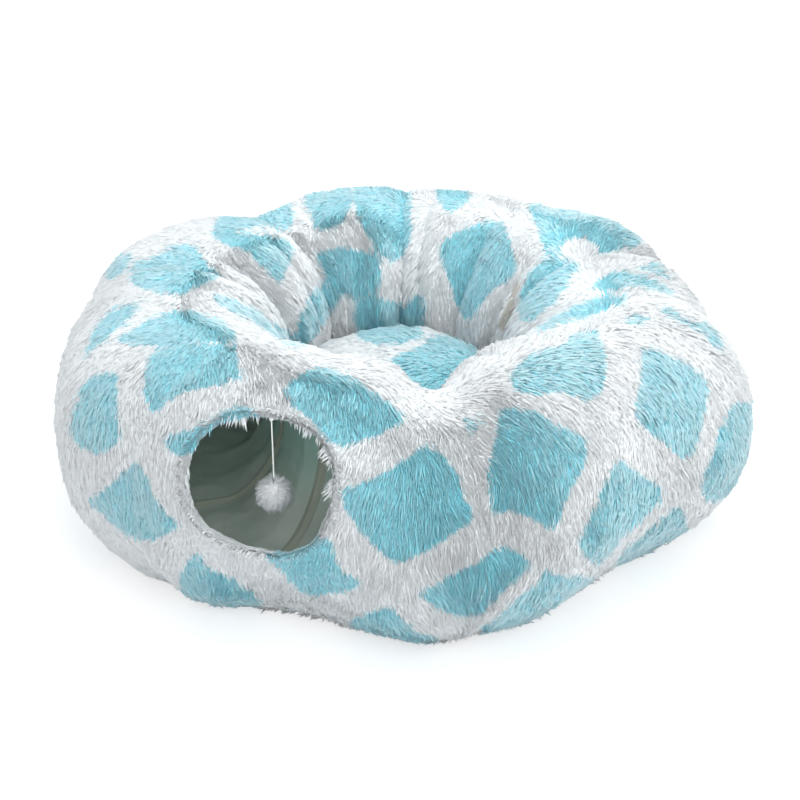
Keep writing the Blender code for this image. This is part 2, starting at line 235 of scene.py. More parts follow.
def finish_material(tree, colour, roughness, normal=None, sheen=0.0, **more):
    """Put the colour, roughness and bump on a Principled shader and give it out."""
    inputs = {"Base Color": colour, "Roughness": roughness, "Sheen Weight": sheen}
    inputs.update({name.replace("_", " "): value for name, value in more.items()})
    if normal:
        inputs["Normal"] = normal
    shader = tree.node("ShaderNodeBsdfPrincipled", {}, inputs)
    tree.node("ShaderNodeOutputMaterial", {}, {"Surface": shader})


floor_material, tree = new_material("white_floor")
floor_lift = 0.62
floor_white = (0.84, 0.845, 0.85, 1.0)
floor_seen = (0.40, 0.405, 0.41, 1.0)
seen = tree.node("ShaderNodeLightPath")["Is Camera Ray"]
finish_material(
    tree, tree.mix(seen, floor_white, floor_seen), 0.9, Emission_Strength=1.0,
    Emission_Color=tree.mix(seen, (0.0, 0.0, 0.0, 1.0), (floor_lift, floor_lift, floor_lift, 1.0)))
floor_data.materials.append(floor_material)
print("Floor", floor_side, "m")

# %% [markdown]
# ## The shape of the ring
# The real tube is sewn from padded plush lobes and sags unevenly between its hoops. The shape is a
# rounded-square section swept round a circle, pushed in at seven creases and out where a lobe
# bulges. The sizes are those that the construction uses, so the skins lie on the frame. Two soft
# forms are added here: folds of spare cloth on the well side, and the slack crest between the two
# front lobes, where the photograph shows a round saddle instead of a sharp crease.

# %% State the ring's sizes
outer_radius = 0.418
tube_width = 0.290
tube_height = 0.290
sole_squash = 0.014
sole_ease = 0.006
boxiness = 2.15
outer_crease_depth = 0.024
well_crease_depth = 0.034
crease_spread = math.radians(15.5)
crease_shares = (
    (225.0, 0.50, 0.20),
    (284.0, 0.20, 1.60),
    (338.0, 0.10, 0.25),
    (24.0, 1.00, 0.90),
    (88.0, 0.30, 1.00),
    (125.0, 0.50, 0.90),
    (168.0, 0.50, 0.70),
)
sole_crease_share = 0.45
valley_depth = 0.018
valley_angle = math.radians(276.5)
valley_spread = math.radians(15.5)
valley_turn = math.radians(100.0)
saddle_crease = math.radians(284.0)
saddle_turn = math.radians(80.0)
saddle_share = 0.6
fold_depth = 0.013
fold_spread = math.radians(8.5)
fold_middle_turn = math.radians(145.0)
fold_shares = (
    (33.0, 0.80),
    (56.0, 1.00),
    (79.0, 0.70),
    (115.5, 1.00),
    (136.0, 0.80),
    (157.5, 1.00),
    (187.0, 0.35),
    (207.0, 0.30),
    (248.0, 0.25),
    (273.0, 0.20),
    (298.0, 0.80),
    (324.0, 0.90),
    (350.0, 1.00),
    (12.5, 0.80),
)
side_fade = 1.5
outward_swing = 0.020
crown_swing = 0.010
tuck_swing = 0.020
sag_shares = (
    (0.0, -1.10, -0.90, 0.00),
    (30.0, 0.35, -0.30, 0.00),
    (60.0, -0.40, -0.70, 0.00),
    (90.0, 0.10, 0.00, 0.00),
    (120.0, -0.40, -1.00, 0.00),
    (150.0, 0.90, -1.20, 0.00),
    (180.0, -0.80, 0.20, 0.00),
    (205.0, 0.00, -0.50, 0.25),
    (228.0, -0.10, 0.00, -0.20),
    (250.0, -1.00, 0.00, -1.10),
    (281.0, 0.10, 0.00, 0.00),
    (315.0, -1.00, 0.00, -1.00),
    (345.0, 0.60, -0.60, 0.00),
)
plush_wall = 0.012
lining_back_gap = 0.0004
lining_thickness = 0.0012
front_entry_angle = math.radians(248.2)
rear_entry_angle = math.radians(56.0)
entry_turn = math.radians(31.0)
entry_width = 0.168
entry_height = 0.142
entry_boxiness = 2.3
hoop_flank = math.radians(14.5)
well_floor_height = 0.030
well_floor_cloth = 0.0025

centre_radius = outer_radius - tube_width / 2
centre_height = tube_height / 2
crease_angles = [math.radians(row[0]) for row in crease_shares]
fold_angles = [math.radians(row[0]) for row in fold_shares]
low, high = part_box("cushion_filling")
ring_middle = Vector(((low.x + high.x) / 2, (low.y + high.y) / 2, 0.0))
print("Middle of the ring", [round(value, 4) for value in ring_middle])

# %% [markdown]
# How far the plush is from the tube's middle line is worked out once, from the angle round the
# ring and the turn round the tube. Creases, folds and sag each add a share of their own, and every
# later step asks these functions where the plush is.

# %% Work out where the plush lies


def crease_distance(angle, crease_angle):
    """How far round the ring an angle is from a crease."""
    return abs((angle - crease_angle + math.pi) % full_turn - math.pi)


def crease_pull(angle, turn):
    """How far the creases draw the plush in."""
    well_side = (1 - math.cos(turn)) / 2
    ease = 1 - (1 - sole_crease_share) * max(0.0, -math.sin(turn))
    pull = 0.0
    for crease_angle, shares in zip(crease_angles, crease_shares):
        away = crease_distance(angle, crease_angle) / crease_spread
        if away < 1:
            depth = outer_crease_depth * shares[1] * (1 - well_side)
            depth += well_crease_depth * shares[2] * well_side
            profile = (1 - away) ** 2
            if crease_angle == saddle_crease:
                round_profile = saddle_share * (1 - away ** 2) ** 2
                profile += (round_profile - profile) * max(0.0, math.cos(turn - saddle_turn))
            pull += depth * ease * profile
    return pull


def fold_pull(angle, turn):
    """How far the folds of spare cloth on the well side draw the plush in."""
    weight = max(0.0, math.cos(turn - fold_middle_turn)) ** side_fade
    pull = 0.0
    for fold_angle, shares in zip(fold_angles, fold_shares):
        away = crease_distance(angle, fold_angle) / fold_spread
        if away < 1:
            pull += fold_depth * shares[1] * (1 - away) ** 2
    return pull * weight


def valley_pull(angle, turn):
    """How far the slack crest between the two front lobes sinks."""
    away = min(1.0, crease_distance(angle, valley_angle) / valley_spread)
    fade = max(0.0, math.cos(turn - valley_turn)) ** side_fade
    return valley_depth * (1 - away ** 2) ** 2 * fade


def sag_at(angle):
    """The three sag shares at an angle, eased between the places that state them."""
    degrees = math.degrees(angle) % 360
    for row, following in zip(sag_shares, sag_shares[1:] + sag_shares[:1]):
        span = (following[0] - row[0]) % 360
        along = (degrees - row[0]) % 360 / span
        if along <= 1:
            ease = along * along * (3 - 2 * along)
            return [start + (end - start) * ease for start, end in zip(row[1:], following[1:])]


def tube_reach(angle, turn):
    """Distance from the tube's centre line to the outside of the plush."""
    across = abs(math.cos(turn)) / (tube_width / 2)
    half_height = tube_height / 2 + (0.0 if math.sin(turn) > 0 else sole_squash)
    upright = abs(math.sin(turn)) / half_height
    plain = (across ** boxiness + upright ** boxiness) ** (-1 / boxiness)
    out, rise, tuck = sag_at(angle)
    away = max(0.0, math.cos(turn))
    down = max(0.0, -math.sin(turn))
    sag = outward_swing * out * away + crown_swing * rise * max(0.0, math.sin(turn))
    plain += sag + tuck_swing * tuck * 2 * down * away
    return plain - crease_pull(angle, turn) - fold_pull(angle, turn) - valley_pull(angle, turn)


def settle(height, ground):
    """Flatten a height onto the ground, with a smooth start."""
    if height <= ground - sole_ease:
        return ground
    if height < ground + sole_ease:
        return ground + (height - ground + sole_ease) ** 2 / (4 * sole_ease)
    return height


def outwards(angle):
    """The level direction away from the middle of the ring."""
    return Vector((math.cos(angle), math.sin(angle), 0.0))


def round_ring(angle):
    """The level direction along the tube."""
    return Vector((-math.sin(angle), math.cos(angle), 0.0))


def place(angle, turn, inset=0.0):
    """A point of the tube, set in from the plush."""
    reach = tube_reach(angle, turn) - inset
    height = settle(centre_height + reach * math.sin(turn), inset)
    return ring_middle + outwards(angle) * (centre_radius + reach * math.cos(turn)) + up * height


def ring_place(point):
    """The angle and the turn of a point near the tube, and its distance from the centre line."""
    from_middle = point - ring_middle
    angle = math.atan2(from_middle.y, from_middle.x) % full_turn
    radial = math.hypot(from_middle.x, from_middle.y) - centre_radius
    height = point.z - centre_height
    return angle, math.atan2(height, radial) % full_turn, math.hypot(radial, height)


print("Crest over the front entry", [round(v, 3) for v in place(front_entry_angle, math.pi / 2)])

# %% [markdown]
# ## The entries
# Each entry is an oval hole on the upper outer side of the tube. An oval bar, made from a cylinder
# whose vertices are moved onto the oval, cuts the skins and the lining. The same oval tells the
# pile where it must not grow.

# %% Make the entry bars
entry_angles = {"front": front_entry_angle, "rear": rear_entry_angle}
binding_tape = 0.0022
bar_reach = tube_width / 4
bar_sides = 96
cut_corner = math.radians(60)


def entry_frame(angle):
    """Middle and directions of an entry: sideways, up its face and out of the tube."""
    out = outwards(angle) * math.cos(entry_turn) + up * math.sin(entry_turn)
    sideways = round_ring(angle)
    upwards = out.cross(sideways)
    if upwards.z < 0:
        upwards.negate()
    return place(angle, entry_turn), sideways, upwards, out


entry_frames = {name: entry_frame(angle) for name, angle in entry_angles.items()}


def entry_edge(turn, grow=0.0):
    """The oval of an entry, in its own plane, grown by a margin."""
    across, upright = math.cos(turn), math.sin(turn)
    reach = (abs(across) * 2 / entry_width) ** entry_boxiness
    reach += (abs(upright) * 2 / entry_height) ** entry_boxiness
    reach = reach ** (-1 / entry_boxiness) + grow
    return across * reach, upright * reach


def show(name, net, material=None, body="tunnel"):
    """Make a bmesh a smooth-shaded object that rides on a body, if one is named."""
    data = bpy.data.meshes.new(name)
    net.to_mesh(data)
    net.free()
    data.shade_smooth()
    if material:
        data.materials.append(material)
    item = bpy.data.objects.new(name, data)
    bpy.context.scene.collection.objects.link(item)
    if body:
        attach(item, body)
    return item


def keep_modifiers(item):
    """Make what the modifiers show the object's own mesh."""
    view = bpy.context.evaluated_depsgraph_get()
    data = bpy.data.meshes.new_from_object(item.evaluated_get(view))
    item.modifiers.clear()
    item.data = data
    return item


def entry_bar(entry):
    """An oval bar through the wall at an entry."""
    middle, sideways, upwards, out = entry_frames[entry]
    net = bmesh.new()
    bmesh.ops.create_cone(
        net, cap_ends=True, segments=bar_sides, radius1=1.0, radius2=1.0, depth=2 * bar_reach)
    for vert in net.verts:
        across, upright = entry_edge(math.atan2(vert.co.y, vert.co.x), binding_tape)
        vert.co = middle + sideways * across + upwards * upright + out * vert.co.z
    bmesh.ops.recalc_face_normals(net, faces=net.faces)
    return show("entry_bar", net, body=None)


def beyond_entry(spot):
    """The nearest entry, and how far a point lies outside its oval, in metres."""
    found = ("front", 1.0, 0.0)
    for entry, (middle, sideways, upwards, out) in entry_frames.items():
        away = spot - middle
        if abs(away.dot(out)) < bar_reach:
            across, upright = away.dot(sideways), away.dot(upwards)
            turn = math.atan2(upright, across)
            gap = math.hypot(across, upright) - Vector(entry_edge(turn)).length
            if gap < found[1]:
                found = (entry, gap, turn)
    return found


def cut_entries(item):
    """Cut both entries through a piece."""
    bars = [entry_bar(entry) for entry in entry_angles]
    for bar in bars:
        modifier = item.modifiers.new("Entry", "BOOLEAN")
        modifier.operation = "DIFFERENCE"
        modifier.solver = "EXACT"
        modifier.object = bar
    keep_modifiers(item)
    for bar in bars:
        bpy.data.objects.remove(bar, do_unlink=True)
    item.data.shade_smooth()
    item.data.set_sharp_from_angle(angle=cut_corner)


print("Entry", entry_width, "by", entry_height, "m")

# %% [markdown]
# ## The print
# The plush carries a common animal print: rounded teal patches in a net of white bands. The side
# of the ring that the photograph shows takes its patches from outlines that were read off the
# picture. A place on the skin looks up its own pixel and keeps its distance to the nearest
# outline. The far side, which the photograph doesn't show, is filled with patches of the same
# size: each has a middle, and a place belongs to its nearest middle.

# %% Outline the patches in the photograph
ring_outlines = (
    ((128, 281), (137, 262), (160, 254), (185, 241), (198, 246), (205, 261), (223, 276), (200, 284),
     (176, 295), (155, 292)),
    ((103, 272), (112, 258), (132, 252), (133, 262), (120, 276), (110, 284)),
    ((80, 362), (92, 332), (107, 311), (125, 303), (147, 303), (128, 318), (112, 331), (97, 346)),
    ((110, 340), (150, 317), (175, 309), (200, 311), (222, 320), (238, 331), (236, 340), (200, 341),
     (170, 347), (125, 344)),
    ((148, 356), (160, 349), (190, 344), (236, 344), (238, 366), (248, 376), (220, 384), (190, 390),
     (168, 399), (160, 413), (150, 411), (143, 397), (145, 368)),
    ((88, 378), (100, 371), (119, 374), (116, 395), (120, 437), (117, 447), (98, 455), (80, 448),
     (68, 435), (76, 402)),
    ((82, 501), (104, 490), (121, 474), (135, 462), (145, 470), (151, 490), (162, 510), (181, 527),
     (152, 541), (126, 537), (105, 518)),
    ((160, 437), (190, 430), (208, 420), (224, 409), (240, 404), (256, 410), (266, 419), (225, 421),
     (205, 436), (187, 455), (176, 457), (165, 448)),
    ((282, 388), (303, 371), (320, 365), (343, 372), (363, 383), (388, 401), (410, 419), (375, 436),
     (343, 447), (330, 444), (320, 430), (308, 416), (290, 404)),
    ((340, 488), (366, 482), (386, 471), (410, 455), (424, 444), (432, 445), (450, 462), (461, 478),
     (465, 500), (476, 513), (471, 523), (450, 537), (420, 555), (400, 565), (387, 560), (370, 543),
     (356, 526), (343, 508)),
    ((500, 409), (522, 408), (540, 413), (556, 425), (580, 434), (591, 441), (587, 457), (577, 480),
     (565, 506), (556, 533), (546, 529), (534, 519), (510, 511), (494, 517), (491, 490), (486, 470),
     (494, 445)),
    ((509, 372), (520, 360), (538, 350), (562, 344), (578, 331), (597, 328), (602, 345), (607, 356),
     (605, 381), (602, 393), (590, 402), (577, 397), (560, 392), (535, 395), (514, 389)),
    ((642, 346), (664, 352), (685, 362), (711, 380), (708, 402), (703, 428), (696, 448), (688, 460),
     (677, 455), (660, 440), (640, 423), (631, 412), (637, 395), (641, 370)),
    ((733, 404), (765, 400), (770, 440), (756, 474), (730, 500), (708, 503), (702, 486), (708, 468),
     (718, 440), (727, 418)),
    ((618, 459), (640, 474), (661, 487), (669, 495), (655, 509), (630, 530), (617, 545), (606, 562),
     (592, 564), (576, 546), (584, 532), (595, 510), (603, 490), (610, 472)),
    ((676, 507), (684, 512), (690, 530), (668, 550), (640, 564), (612, 570), (624, 550), (642, 534),
     (661, 520)),
    ((415, 593), (440, 582), (462, 571), (482, 561), (502, 547), (516, 551), (532, 563), (526, 574),
     (502, 593), (480, 616), (460, 618), (440, 609), (424, 600)),
    ((478, 628), (500, 616), (516, 602), (534, 586), (546, 570), (560, 577), (600, 577), (570, 605),
     (525, 630), (490, 645)),
    ((178, 574), (188, 560), (198, 554), (206, 569), (222, 575), (238, 581), (250, 593), (264, 605),
     (240, 620), (205, 615), (180, 595)),
    ((266, 560), (285, 554), (305, 550), (322, 539), (331, 542), (333, 557), (343, 573), (362, 583),
     (363, 588), (345, 593), (312, 596), (296, 592), (282, 575)),
    ((350, 621), (374, 612), (390, 609), (400, 620), (418, 630), (440, 640), (400, 655),
     (360, 645)),
    ((440, 243), (452, 234), (468, 226), (486, 220), (503, 220), (508, 236), (518, 264), (514, 278),
     (492, 289), (480, 305), (473, 322), (462, 320), (455, 300), (449, 280), (440, 260)),
    ((354, 176), (410, 176), (412, 240), (410, 252), (395, 261), (387, 260), (376, 250), (366, 232),
     (356, 212)),
    ((304, 200), (312, 176), (350, 176), (352, 204), (341, 224), (322, 230), (315, 226)),
    ((317, 252), (340, 247), (360, 251), (377, 256), (382, 270), (383, 282), (374, 293), (356, 298),
     (338, 293), (312, 303), (306, 296), (328, 280), (320, 267)),
    ((433, 176), (456, 176), (472, 196), (456, 208), (446, 211), (438, 200)),
    ((299, 318), (306, 306), (322, 296), (337, 294), (341, 302), (330, 316), (322, 328), (313, 342),
     (304, 349), (297, 340)),
    ((352, 316), (357, 302), (377, 298), (397, 302), (406, 307), (414, 296), (423, 294), (426, 318),
     (423, 330), (398, 332), (370, 333), (354, 332)),
    ((211, 233), (219, 216), (266, 204), (291, 200), (294, 220), (289, 229), (250, 226), (236, 232),
     (262, 233), (286, 240), (297, 250), (288, 266), (280, 284), (268, 271), (256, 258), (240, 247),
     (222, 242)),
    ((207, 297), (216, 293), (240, 301), (258, 310), (272, 322), (296, 336), (300, 350), (284, 346),
     (262, 328), (240, 316), (222, 307)),
    ((526, 200), (530, 190), (584, 202), (614, 216), (646, 240), (634, 247), (620, 247), (606, 256),
     (600, 253), (594, 243), (588, 237), (574, 237), (564, 243), (556, 253), (546, 258), (542, 242),
     (535, 224)),
    ((542, 257), (560, 256), (572, 262), (583, 269), (572, 278), (565, 290), (555, 303), (542, 313),
     (530, 323), (519, 320), (520, 300), (522, 284), (532, 268)),
    ((586, 291), (596, 280), (611, 271), (628, 270), (648, 276), (664, 284), (678, 296), (660, 291),
     (645, 287), (625, 286), (604, 291)),
    ((636, 267), (650, 262), (662, 267), (674, 279), (660, 276), (648, 271)),
    ((533, 332), (547, 320), (560, 312), (576, 304), (592, 299), (606, 294), (627, 294), (626, 304),
     (610, 306), (596, 312), (584, 319), (566, 322), (552, 328)),
    ((624, 322), (630, 314), (645, 312), (652, 320), (642, 326)),
    ((690, 322), (708, 322), (722, 336), (724, 356), (716, 354), (708, 338)),
    ((656, 308), (668, 305), (692, 322), (684, 328), (674, 318)),
    ((462, 418), (471, 414), (477, 430), (469, 435)),
)
cushion_outlines = (
    ((387, 362), (402, 352), (422, 347), (431, 337), (447, 334), (470, 340), (486, 351), (481, 356),
     (470, 363), (462, 371), (460, 385), (446, 396), (430, 398), (418, 391), (402, 377)),
    ((352, 326), (372, 321), (397, 322), (416, 325), (424, 335), (410, 341), (390, 345), (372, 345),
     (360, 340)),
    ((330, 400), (372, 392), (396, 412), (380, 440), (340, 436)),
    ((424, 420), (478, 410), (500, 432), (470, 452), (430, 448)),
)
pixel_size = view_distance / focal_pixels
outside_all = -0.03


def pixels_of(points):
    """Where points are in the photograph."""
    seen_from = (points - np.array(camera_place)) @ np.array(camera_turn)
    scale = focal_pixels / -seen_from[:, 2]
    return np.stack((
        aim_pixel[0] + seen_from[:, 0] * scale, aim_pixel[1] - seen_from[:, 1] * scale), axis=1)


def depth_in_outline(spots, outline):
    """How far inside an outline each pixel is, in metres at the ring, or below nothing outside."""
    corners = np.array(outline, dtype=float)
    edges = np.roll(corners, -1, axis=0) - corners
    away = spots[:, None] - corners[None]
    along = np.clip((away * edges).sum(axis=2) / (edges ** 2).sum(axis=1), 0, 1)
    reach = np.linalg.norm(away - along[..., None] * edges, axis=2).min(axis=1)
    above = corners[:, 1] > spots[:, 1:]
    crossed = above != np.roll(above, -1, axis=1)
    rise = np.where(edges[:, 1] == 0, 1.0, edges[:, 1])
    meets = corners[:, 0] + (spots[:, 1:] - corners[:, 1]) * edges[:, 0] / rise
    inside = (crossed & (spots[:, :1] < meets)).sum(axis=1) % 2 == 1
    return np.where(inside, reach, -reach) * pixel_size


def depth_in_outlines(points, outlines):
    """How far inside the nearest patch each point is, as the camera sees it."""
    spots = pixels_of(points)
    depth = np.full(len(points), outside_all)
    margin = -outside_all / pixel_size
    for outline in outlines:
        corners = np.array(outline)
        close = (spots > corners.min(axis=0) - margin).all(axis=1)
        close &= (spots < corners.max(axis=0) + margin).all(axis=1)
        if close.any():
            depth[close] = np.maximum(depth[close], depth_in_outline(spots[close], outline))
    return depth


print("Patches in the photograph:", len(ring_outlines) + len(cushion_outlines))

# %% [markdown]
# Behind the ring no outline can be read. Middles are scattered over the whole tube, no two closer
# than a patch is wide, and the borders between them become the white net.

# %% Fill the side that the photograph doesn't show
fill_spacing = 0.118
fill_band = 0.014
fill_tries = 3000
seen_limit = -0.15
chance = np.random.default_rng(7)
fill_middles = []
for _ in range(fill_tries):
    spot = place(*chance.uniform(0, full_turn, 2))
    if all((spot - other).length > fill_spacing for other in fill_middles):
        fill_middles.append(spot)
fill_places = np.array(fill_middles)


def depth_in_fill(points):
    """How far inside its own patch each point is; a patch reaches half way to its neighbours."""
    reach = np.linalg.norm(points[:, None] - fill_places[None], axis=2)
    own = reach.argmin(axis=1)
    rows = np.arange(len(points))
    apart = np.linalg.norm(fill_places[own][:, None] - fill_places[None], axis=2)
    apart[rows, own] = 1.0
    to_edge = (reach ** 2 - reach[rows, own][:, None] ** 2) / (2 * apart)
    to_edge[rows, own] = 1.0
    return to_edge.min(axis=1) - fill_band


def ring_print(points, normals):
    """The print's depth at points of the ring."""
    to_camera = np.array(camera_place) - points
    to_camera /= np.linalg.norm(to_camera, axis=1)[:, None]
    shown_by = (normals * to_camera).sum(axis=1) - seen_limit
    margin = np.abs(shown_by) * tube_width / 2 - fill_band / 2
    seen_depth = depth_in_outlines(points, ring_outlines)
    return np.minimum(np.where(shown_by > 0, seen_depth, depth_in_fill(points)), margin)


print("Middles of the filled patches:", len(fill_middles))

# %% [markdown]
# In two places the pile parts and shows the bare cloth along a seam: a beige strip at the right of
# the well's back wall, and a thin yellowish line on the left. They are lines in the photograph's
# pixels. At the right of the front entry two long tufts hang over the rim into the hole.

# %% Draw the bare seams
bare_seams = (
    ((520, 283), (503, 326), 6.5),
    ((214, 243), (238, 272), 1.8),
)


def faces_camera(points, normals):
    """Whether each point looks towards the camera."""
    return ((np.array(camera_place) - points) * normals).sum(axis=1) > 0


def bare_share(points, normals):
    """How bare the cloth is at points of the ring, from 0 to 1."""
    spots = pixels_of(points)
    share = np.zeros(len(points))
    for first, last, width in bare_seams:
        line = np.array(last, dtype=float) - np.array(first)
        away = spots - np.array(first)
        along = np.clip(away @ line / (line @ line), 0, 1)
        reach = np.linalg.norm(away - along[:, None] * line, axis=1)
        taper = width * (0.45 + 0.55 * along)
        share = np.maximum(share, np.clip(1.5 * (1 - reach / taper), 0, 1))
    return share * faces_camera(points, normals)


rim_tufts = ((338, 447, 13), (341, 482, 14))
tuft_way = Vector((-1.0, -0.1, -0.45))


def tuft_share(points, normals):
    """How much a point belongs to one of the tufts that hang over the front rim, from 0 to 1."""
    spots = pixels_of(points)
    share = np.zeros(len(points))
    for across, down, reach in rim_tufts:
        away = np.linalg.norm(spots - (across, down), axis=1)
        share = np.maximum(share, np.clip(1.6 * (1 - away / reach), 0, 1))
    return share * faces_camera(points, normals)


print("Bare seams:", len(bare_seams), "tufts over the rim:", len(rim_tufts))

# %% [markdown]
# ## The pile
# Long plush is thousands of strands that lie over each other in locks. A lock here is a flat
# sliver of four faces with a ridge along it, scattered over the skin by Geometry Nodes and turned
# to the way the pile is brushed. Each end of a lock takes the print's depth from the skin right
# below it, as dye goes onto finished plush, so a patch has a crisp edge that the strands only
# feather. A lock's shading is drawn towards that of the skin, because real locks are far softer
# than hard slivers.

# %% Shape one lock
lock_bend = 0.10
lock_droop = 0.10
lock_waist = 0.35
lock_flatness = 0.12


def rows_of(items, key):
    """A vector of each item as rows of numbers."""
    values = np.empty(len(items) * 3, dtype=np.float32)
    items.foreach_get(key, values)
    return values.reshape(-1, 3)


def places_of(data):
    """Where the vertices of a mesh are."""
    return rows_of(data.vertices, "co")


def normals_of(data):
    """Which way the vertices of a mesh look."""
    return rows_of(data.vertex_normals, "vector")


def store(data, name, values, kind="FLOAT"):
    """Keep a value for each vertex of a mesh under a name."""
    key = "vector" if kind == "FLOAT_VECTOR" else "value"
    layer = data.attributes.new(name, kind, "POINT")
    layer.data.foreach_set(key, np.ascontiguousarray(values, dtype=np.float32).ravel())


def make_lock():
    """A curved sliver of unit length and width that lies along X, with its tip at one."""
    net = bmesh.new()
    bmesh.ops.create_cone(
        net, cap_ends=True, segments=3, radius1=0.577, radius2=0.0, depth=1.0,
        matrix=Matrix.Translation((0.5, 0.0, 0.0)) @ Matrix.Rotation(math.pi / 2, 4, "Y"))
    bmesh.ops.remove_doubles(net, verts=net.verts, dist=0.01)
    ridge = max((vert for vert in net.verts if vert.co.x < 0.5), key=lambda vert: abs(vert.co.z))
    for vert in net.verts:
        if vert.co.x < 0.5:
            vert.co.x = lock_waist if vert is ridge else 0.0
            vert.co.z = 0.5 if vert is ridge else 0.0
    for vert in net.verts:
        vert.co.z = vert.co.z * lock_flatness
        vert.co.z += lock_bend * math.sin(math.pi * vert.co.x) - lock_droop * vert.co.x ** 2
    bmesh.ops.recalc_face_normals(net, faces=net.faces)
    item = show("lock", net, body=None)
    store(item.data, "along", places_of(item.data)[:, 0])
    item.hide_render = True
    return item


lock = make_lock()
lock_corners = len(lock.data.loops)
print("Faces of a lock:", len(lock.data.polygons))

# %% [markdown]
# One kind of node group grows all the pile. It spreads points over a skin with a least spacing,
# stands a lock on each point, softens the normals and holds the locks off the ground. Scattering
# by nodes was chosen over hair, because the locks then are a plain mesh that any program can read.

# %% Scatter the locks with Geometry Nodes
softness = 0.85
ground_gap = 0.0004


def pile_nodes(name, spacing, seed, width, length, rise, rise_chance, yaw_chance):
    """A node group that grows locks on a skin."""
    group = bpy.data.node_groups.new(name, "GeometryNodeTree")
    group.interface.new_socket("Geometry", in_out="INPUT", socket_type="NodeSocketGeometry")
    group.interface.new_socket("Geometry", in_out="OUTPUT", socket_type="NodeSocketGeometry")
    tree = Tree(group)

    def named(attribute, kind="FLOAT"):
        return tree.node(
            "GeometryNodeInputNamedAttribute", {"data_type": kind}, {"Name": attribute})

    def chance_between(low_value, high_value, number):
        made = tree.node("FunctionNodeRandomValue", {"data_type": "FLOAT"}, {
            2: low_value, 3: high_value, "Seed": number})
        return Wire(tree, made.socket.node.outputs[1])

    def keep(geometry, domain, attribute, value, kind="FLOAT"):
        settings = {"data_type": kind, "domain": domain}
        return tree.node("GeometryNodeStoreNamedAttribute", settings, {
            "Geometry": geometry, "Name": attribute, "Value": value})

    skin = tree.node("NodeGroupInput")
    points = tree.node("GeometryNodeDistributePointsOnFaces", {"distribute_method": "POISSON"}, {
        "Mesh": skin, "Distance Min": spacing,
        "Density Max": 4 / spacing ** 2, "Density Factor": named("pile"), "Seed": seed})
    stood = tree.node("FunctionNodeAxesToRotation", {"primary_axis": "Z", "secondary_axis": "X"}, {
        0: points["Normal"], 1: named("lie", "FLOAT_VECTOR")})
    pitch = named("rise") + chance_between(-rise_chance, rise_chance, seed + 1) + rise
    yaw = chance_between(-yaw_chance, yaw_chance, seed + 2)
    lean = tree.node("ShaderNodeCombineXYZ", {}, {1: -1.0 * pitch, 2: yaw})
    lean = tree.node("FunctionNodeEulerToRotation", {}, {0: lean})
    turned = tree.node(
        "FunctionNodeRotateRotation", {"rotation_space": "LOCAL"}, {0: stood, 1: lean})
    long = named("length") * chance_between(0.7 * length, 1.3 * length, seed + 3)
    wide = chance_between(0.6 * width, 1.4 * width, seed + 4)
    size = tree.node("ShaderNodeCombineXYZ", {}, {0: long, 1: wide, 2: long})
    marked = keep(points, "POINT", "stand", points["Normal"], "FLOAT_VECTOR")
    shape = tree.node("GeometryNodeObjectInfo", {"transform_space": "ORIGINAL"}, {"Object": lock})
    grown = tree.node("GeometryNodeInstanceOnPoints", {}, {
        "Points": marked, "Instance": shape["Geometry"], "Rotation": turned, "Scale": size})
    grown = keep(grown, "INSTANCE", "tint", chance_between(0.0, 1.0, seed + 5))
    real = tree.node("GeometryNodeRealizeInstances", {}, {0: grown})
    soft = tree.node("ShaderNodeMix", {"data_type": "VECTOR"}, {
        0: softness, 4: tree.node("GeometryNodeInputNormal"), 5: named("stand", "FLOAT_VECTOR")})
    soft = Wire(tree, soft.socket.node.outputs[1])
    real = tree.node("GeometryNodeSetMeshNormal", {"mode": "FREE", "domain": "POINT"}, {
        "Mesh": real, "Custom Normal": soft})
    spot = tree.node("ShaderNodeSeparateXYZ", {}, {0: tree.node("GeometryNodeInputPosition")})
    held = tree.node("ShaderNodeCombineXYZ", {}, {
        0: spot["X"], 1: spot["Y"], 2: tree.maths("MAXIMUM", spot["Z"], ground_gap)})
    real = tree.node("GeometryNodeSetPosition", {}, {"Geometry": real, "Position": held})
    for attribute in ("print", "bare"):
        below = tree.node("GeometryNodeSampleNearestSurface", {"data_type": "FLOAT"}, {
            "Mesh": skin, "Value": named(attribute),
            "Sample Position": tree.node("GeometryNodeInputPosition")})
        real = keep(real, "POINT", attribute, below)
    tree.node("NodeGroupOutput", {}, {0: real})
    return group


def lay_out_locks(data):
    """Give each lock a square of its own on the piece's map."""
    count = len(data.loops) // lock_corners
    side = math.ceil(math.sqrt(count))
    order = np.empty(lock_corners, dtype=np.int32)
    lock.data.loops.foreach_get("vertex_index", order)
    own = places_of(lock.data)[order][:, :2] * 0.8 + (0.1, 0.5)
    number = np.arange(count)
    corner = np.stack((number % side, number // side), axis=1)
    spots = (corner[:, None] + own[None]) / side
    layer = data.uv_layers.new(name="OFBake")
    layer.data.foreach_set("uv", spots.astype(np.float32).ravel())


def settle_order(net):
    """Make the edges and faces again in a fixed order.

    An operator's own order differs from run to run, and the locks are scattered face by face.
    """
    net.verts.index_update()
    rings = []
    for face in net.faces:
        ring = [vert.index for vert in face.verts]
        first = ring.index(min(ring))
        rings.append(ring[first:] + ring[:first])
    bmesh.ops.delete(net, geom=net.edges[:], context="EDGES_FACES")
    net.verts.ensure_lookup_table()
    for ring in sorted(rings):
        net.faces.new([net.verts[index] for index in ring])


def mark(data, **values):
    """Store on a net what its pile needs: lie, print, bare, pile, rise and length."""
    for attribute, rows in values.items():
        store(data, attribute, rows, "FLOAT_VECTOR" if attribute == "lie" else "FLOAT")


def copy_of(item, name):
    """A second object with a mesh of its own."""
    copied = bpy.data.objects.new(name, item.data.copy())
    bpy.context.scene.collection.objects.link(copied)
    return copied


